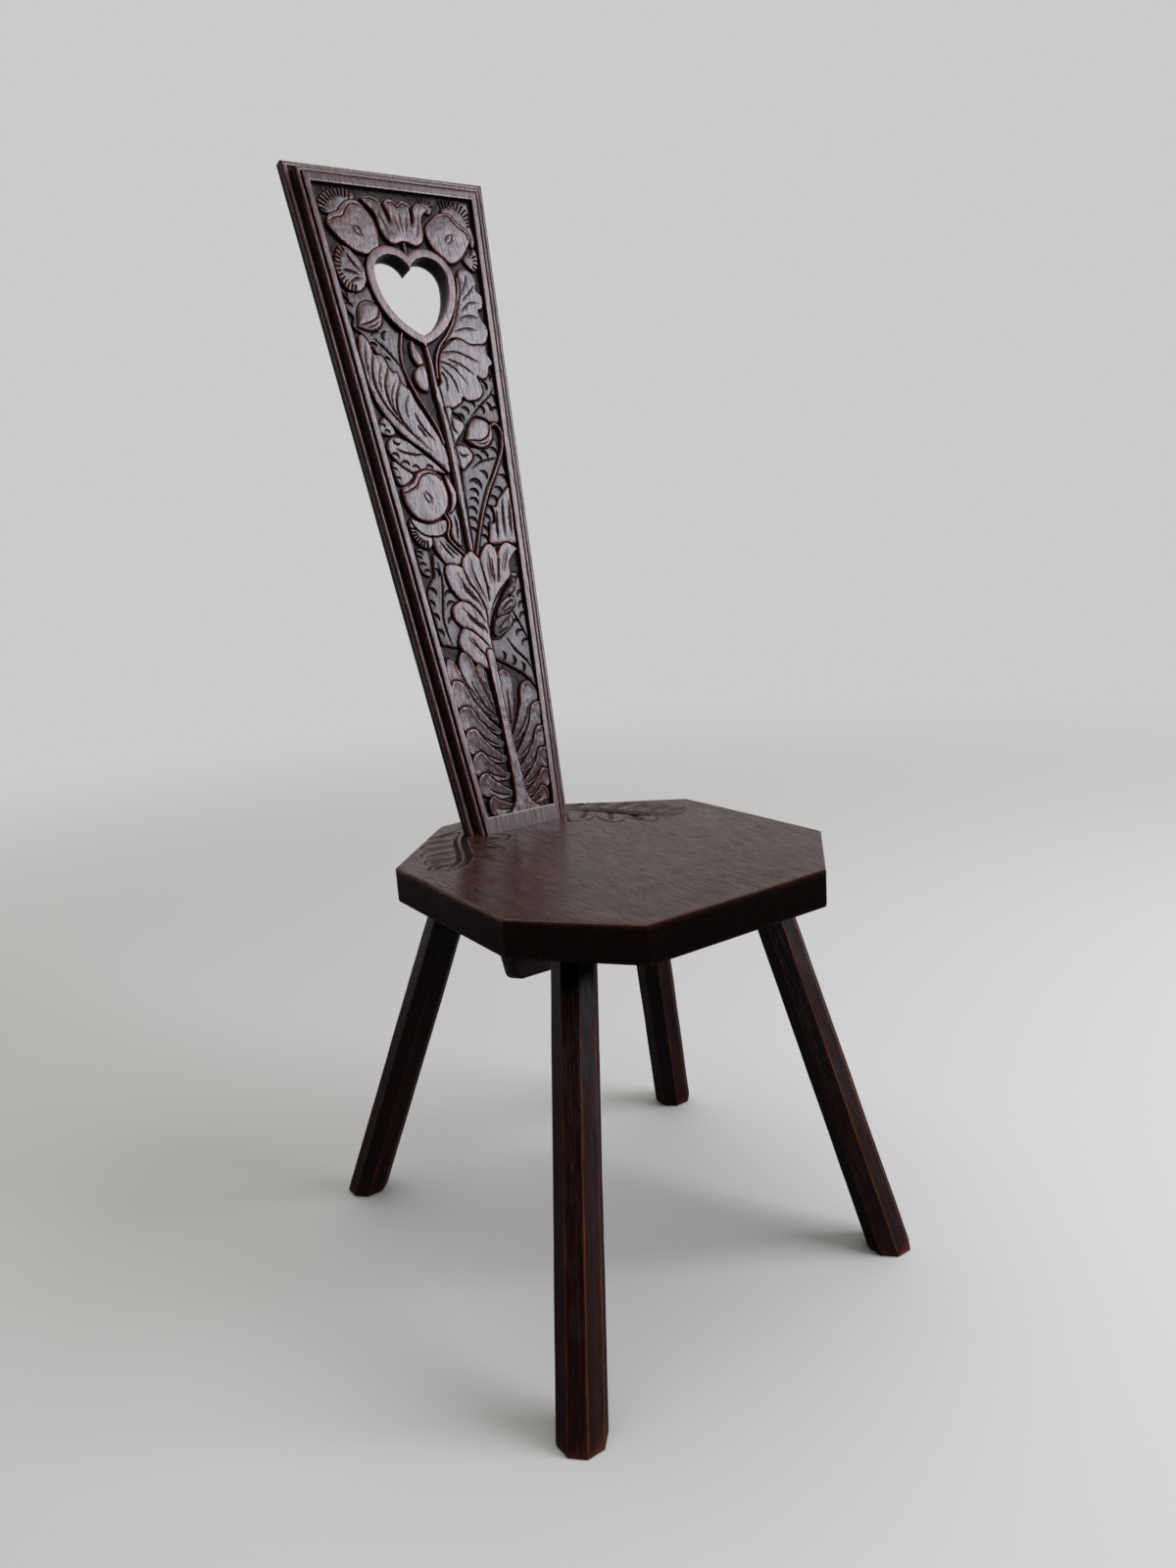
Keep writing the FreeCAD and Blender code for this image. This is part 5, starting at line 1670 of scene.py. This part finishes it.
# %% Mortise, sockets and peg holes
MORTISE_CLEARANCE = 0.25
PEGS = {"right_back_peg": -29.2, "left_back_peg": 18.8}
PEG_LEVEL = SEAT_TOP - 14.0
PEG_ROUND = 4.0
PEG_HOLE = (66, 132)
PEG_CLEARANCE = 0.1
MORTISE_ENDS = (-50.0, 40.0)
SOCKET_ROUND = 11.2
SOCKET_DEPTH = 19.2
SOCKET_LEAD = 12


def mortise():
    """The plank's own section, a hair larger, where it passes through the seat."""
    outer = [(out, level) for out, level, rub, hollow in MOULDING]
    loops = []
    for y in MORTISE_ENDS:
        half = float(border_half(y)) + MORTISE_CLEARANCE
        right = [(half + out, level) for out, level in outer]
        right = [(-half - out, level) for out, level in outer[::-1]] + right
        loop = [(x, y, level + (MORTISE_CLEARANCE if level > -10 else -MORTISE_CLEARANCE))
                for x, level in right]
        loops.append(on_plank(np.array(loop)))
    return prism(*loops)


def seat_cuts():
    """Blocks for the plank's mortise, the four leg sockets and the two peg holes."""
    blocks = [mortise()]
    for foot, top in LEGS.values():
        axis = np.array([*(np.array(top, float) - foot), UNDERSIDE])
        axis /= np.linalg.norm(axis)
        mouth = np.array([top[0], top[1] + SEAT_CENTRE, UNDERSIDE])
        blocks.append(rod(mouth - SOCKET_LEAD * axis, mouth + SOCKET_DEPTH * axis, SOCKET_ROUND))
    for x in PEGS.values():
        ends = [(x, y, PEG_LEVEL) for y in PEG_HOLE]
        blocks.append(rod(*ends, PEG_ROUND + PEG_CLEARANCE))
    return blocks


print("plank", round(2 * float(border_half(0))), "wide in the mortise, pegs at", list(PEGS.values()))

# %% Seat board mesh
SEAT_ARRIS = 1.7
SEAT_MEAN_HALF = 150
# Wall rings are (inset, level, rub, painted shade): the side faces and the underside are painted darker
# than the top, as shade, and are rougher.
SEAT_WALL = [(0, -2.6, 0.1, 0.2), (0, -5, 0, 0.65), (0, -15, 0, 0.7), (0, -25.5, 0, 0.7),
             (0.15, -27.5, 0.4, 0.2), (0.9, -SEAT_THICKNESS, 0.2, 0.3)]


def from_outline(x, y):
    """Distance of points inside the octagon from its nearest side."""
    ends = np.roll(SEAT_CORNERS, -1, 0)
    nearest = np.full(x.shape, 1e9)
    for (ax, ay), (bx, by) in zip(SEAT_CORNERS, ends):
        length = math.hypot(bx - ax, by - ay)
        nearest = np.minimum(nearest, ((bx - ax) * (y - ay) - (by - ay) * (x - ax)) / length)
    return np.maximum(nearest, 0)


def corner_wear(x, y):
    """Wear that falls off away from the eight corners."""
    gaps = np.min([np.hypot(x - cx, y - cy) for cx, cy in SEAT_CORNERS], axis=0)
    return np.exp(-(gaps / 1.4) ** 2)


def make_seat():
    """Top, walls and underside, with everything cut out that goes into the board."""
    edge_gap = from_outline(seat.x, seat.y)
    softness = SEAT_ARRIS + 0.5 * np.sin(0.031 * seat.x + 0.9) * np.cos(0.027 * seat.y)
    inside_round = np.clip(softness - edge_gap, 0, None)
    drop = softness - np.sqrt(np.clip(softness ** 2 - inside_round ** 2, 0, None))
    height = seat.height - drop + rippled(seat.height.shape, spread=14, amount=0.07, seed=21)
    rub = 0.9 * np.exp(-(edge_gap / 1.3) ** 2) + 0.25 * np.exp(-edge_gap / 9)
    # Painted shade: the leaf grooves are darker the deeper they are cut.
    hollow = np.clip(-seat.height / 2.0, 0, 1)
    spots = np.c_[seat.x.ravel(), seat.y.ravel(), height.ravel()]
    index = np.arange(height.size).reshape(height.shape)
    faces = grid_faces(height.shape).tolist()
    loop = np.concatenate([index[0, :-1], index[:-1, -1], index[-1, :0:-1], index[:0:-1, 0]])
    spots, rub, hollow = [spots], [rub.ravel()], [hollow.ravel()]
    ring = loop
    corners = corner_wear(*spots[0][loop, :2].T)
    for inset, level, wear, side_shade in SEAT_WALL:
        outline = spots[0][loop, :2] * (1 - inset / SEAT_MEAN_HALF)
        lower = np.arange(len(loop)) + sum(map(len, spots))
        spots.append(np.c_[outline, np.full(len(loop), level)])
        rub.append(np.maximum(wear, 0.85 * corners))
        hollow.append(np.full(len(loop), side_shade))
        faces += np.stack([ring, lower, np.roll(lower, -1), np.roll(ring, -1)], -1).tolist()
        ring = lower
    faces.append(ring[::-1].tolist())
    mesh = bpy.data.meshes.new("seat_board")
    mesh.from_pydata((np.vstack(spots) + (0, SEAT_CENTRE, SEAT_TOP)).tolist(), [], faces)
    for word, values in (("rub", rub), ("hollow", hollow)):
        give(mesh, word, np.concatenate(values))
    mesh = cut_out(capped(mesh), seat_cuts())
    return stand("seat_board", mesh, as_is, grain_along_y, seat_wood, ["seat_board"])


def keep_window_off(piece):
    """Leave a piece out of what the window lamp lights."""
    unlit = bpy.data.collections.new("not_lit_by_window")
    unlit.objects.link(piece)
    unlit.collection_objects[0].light_linking.link_state = "EXCLUDE"
    window_lamp.light_linking.receiver_collection = unlit


keep_window_off(make_seat())

# %% [markdown]
# ## Two pegs
#
# A peg on each side of the middle, driven from the rear edge through the seat into the foot of the
# plank, keeps the plank from lifting out. Each is a shaved stick with a slightly proud, domed head.

# %% Pegs


def make_peg(name, x):
    """One round peg with a domed head, as long as the CAD has it."""
    low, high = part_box(name)
    start, end = low[1] / MM, high[1] / MM
    turns = np.linspace(0, 2 * math.pi, 25)
    ring = np.c_[np.cos(turns), 0 * turns, np.sin(turns)]
    path = PEG_ROUND * ring + (x, 0, PEG_LEVEL)
    # The shaft, inside the seat, is half darkened as painted shade; the head is not.
    section = [(-0.8, start, 0, 0.5), (0, start + 1, 0, 0.5), (0, end - 2, 0, 0.5),
               (0, end - 0.4, 0.4, 0.3), (-0.35, end + 0.25, 0.9, 0), (-1.2, end + 0.6, 0.6, 0),
               (-2.6, end + 0.8, 0.3, 0)]
    mesh = capped(carry(path, ring, section, (0, 1, 0), peg_wood, waver=0.2, waver_scale=0.1))
    stand(name, mesh, as_is, grain_along_y, peg_wood, [name])


for name, x in PEGS.items():
    make_peg(name, x)

# %% [markdown]
# ## Hidden wedges
#
# The four wedges that tighten the tenons stay as the CAD made them, inside the seat. They only take
# the wood's colour.

# %% Wedges and their finish
for name in LEGS:
    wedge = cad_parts[name.replace("_leg", "_wedge")]
    wedge.data.materials.clear()
    wedge.data.materials.append(peg_wood)
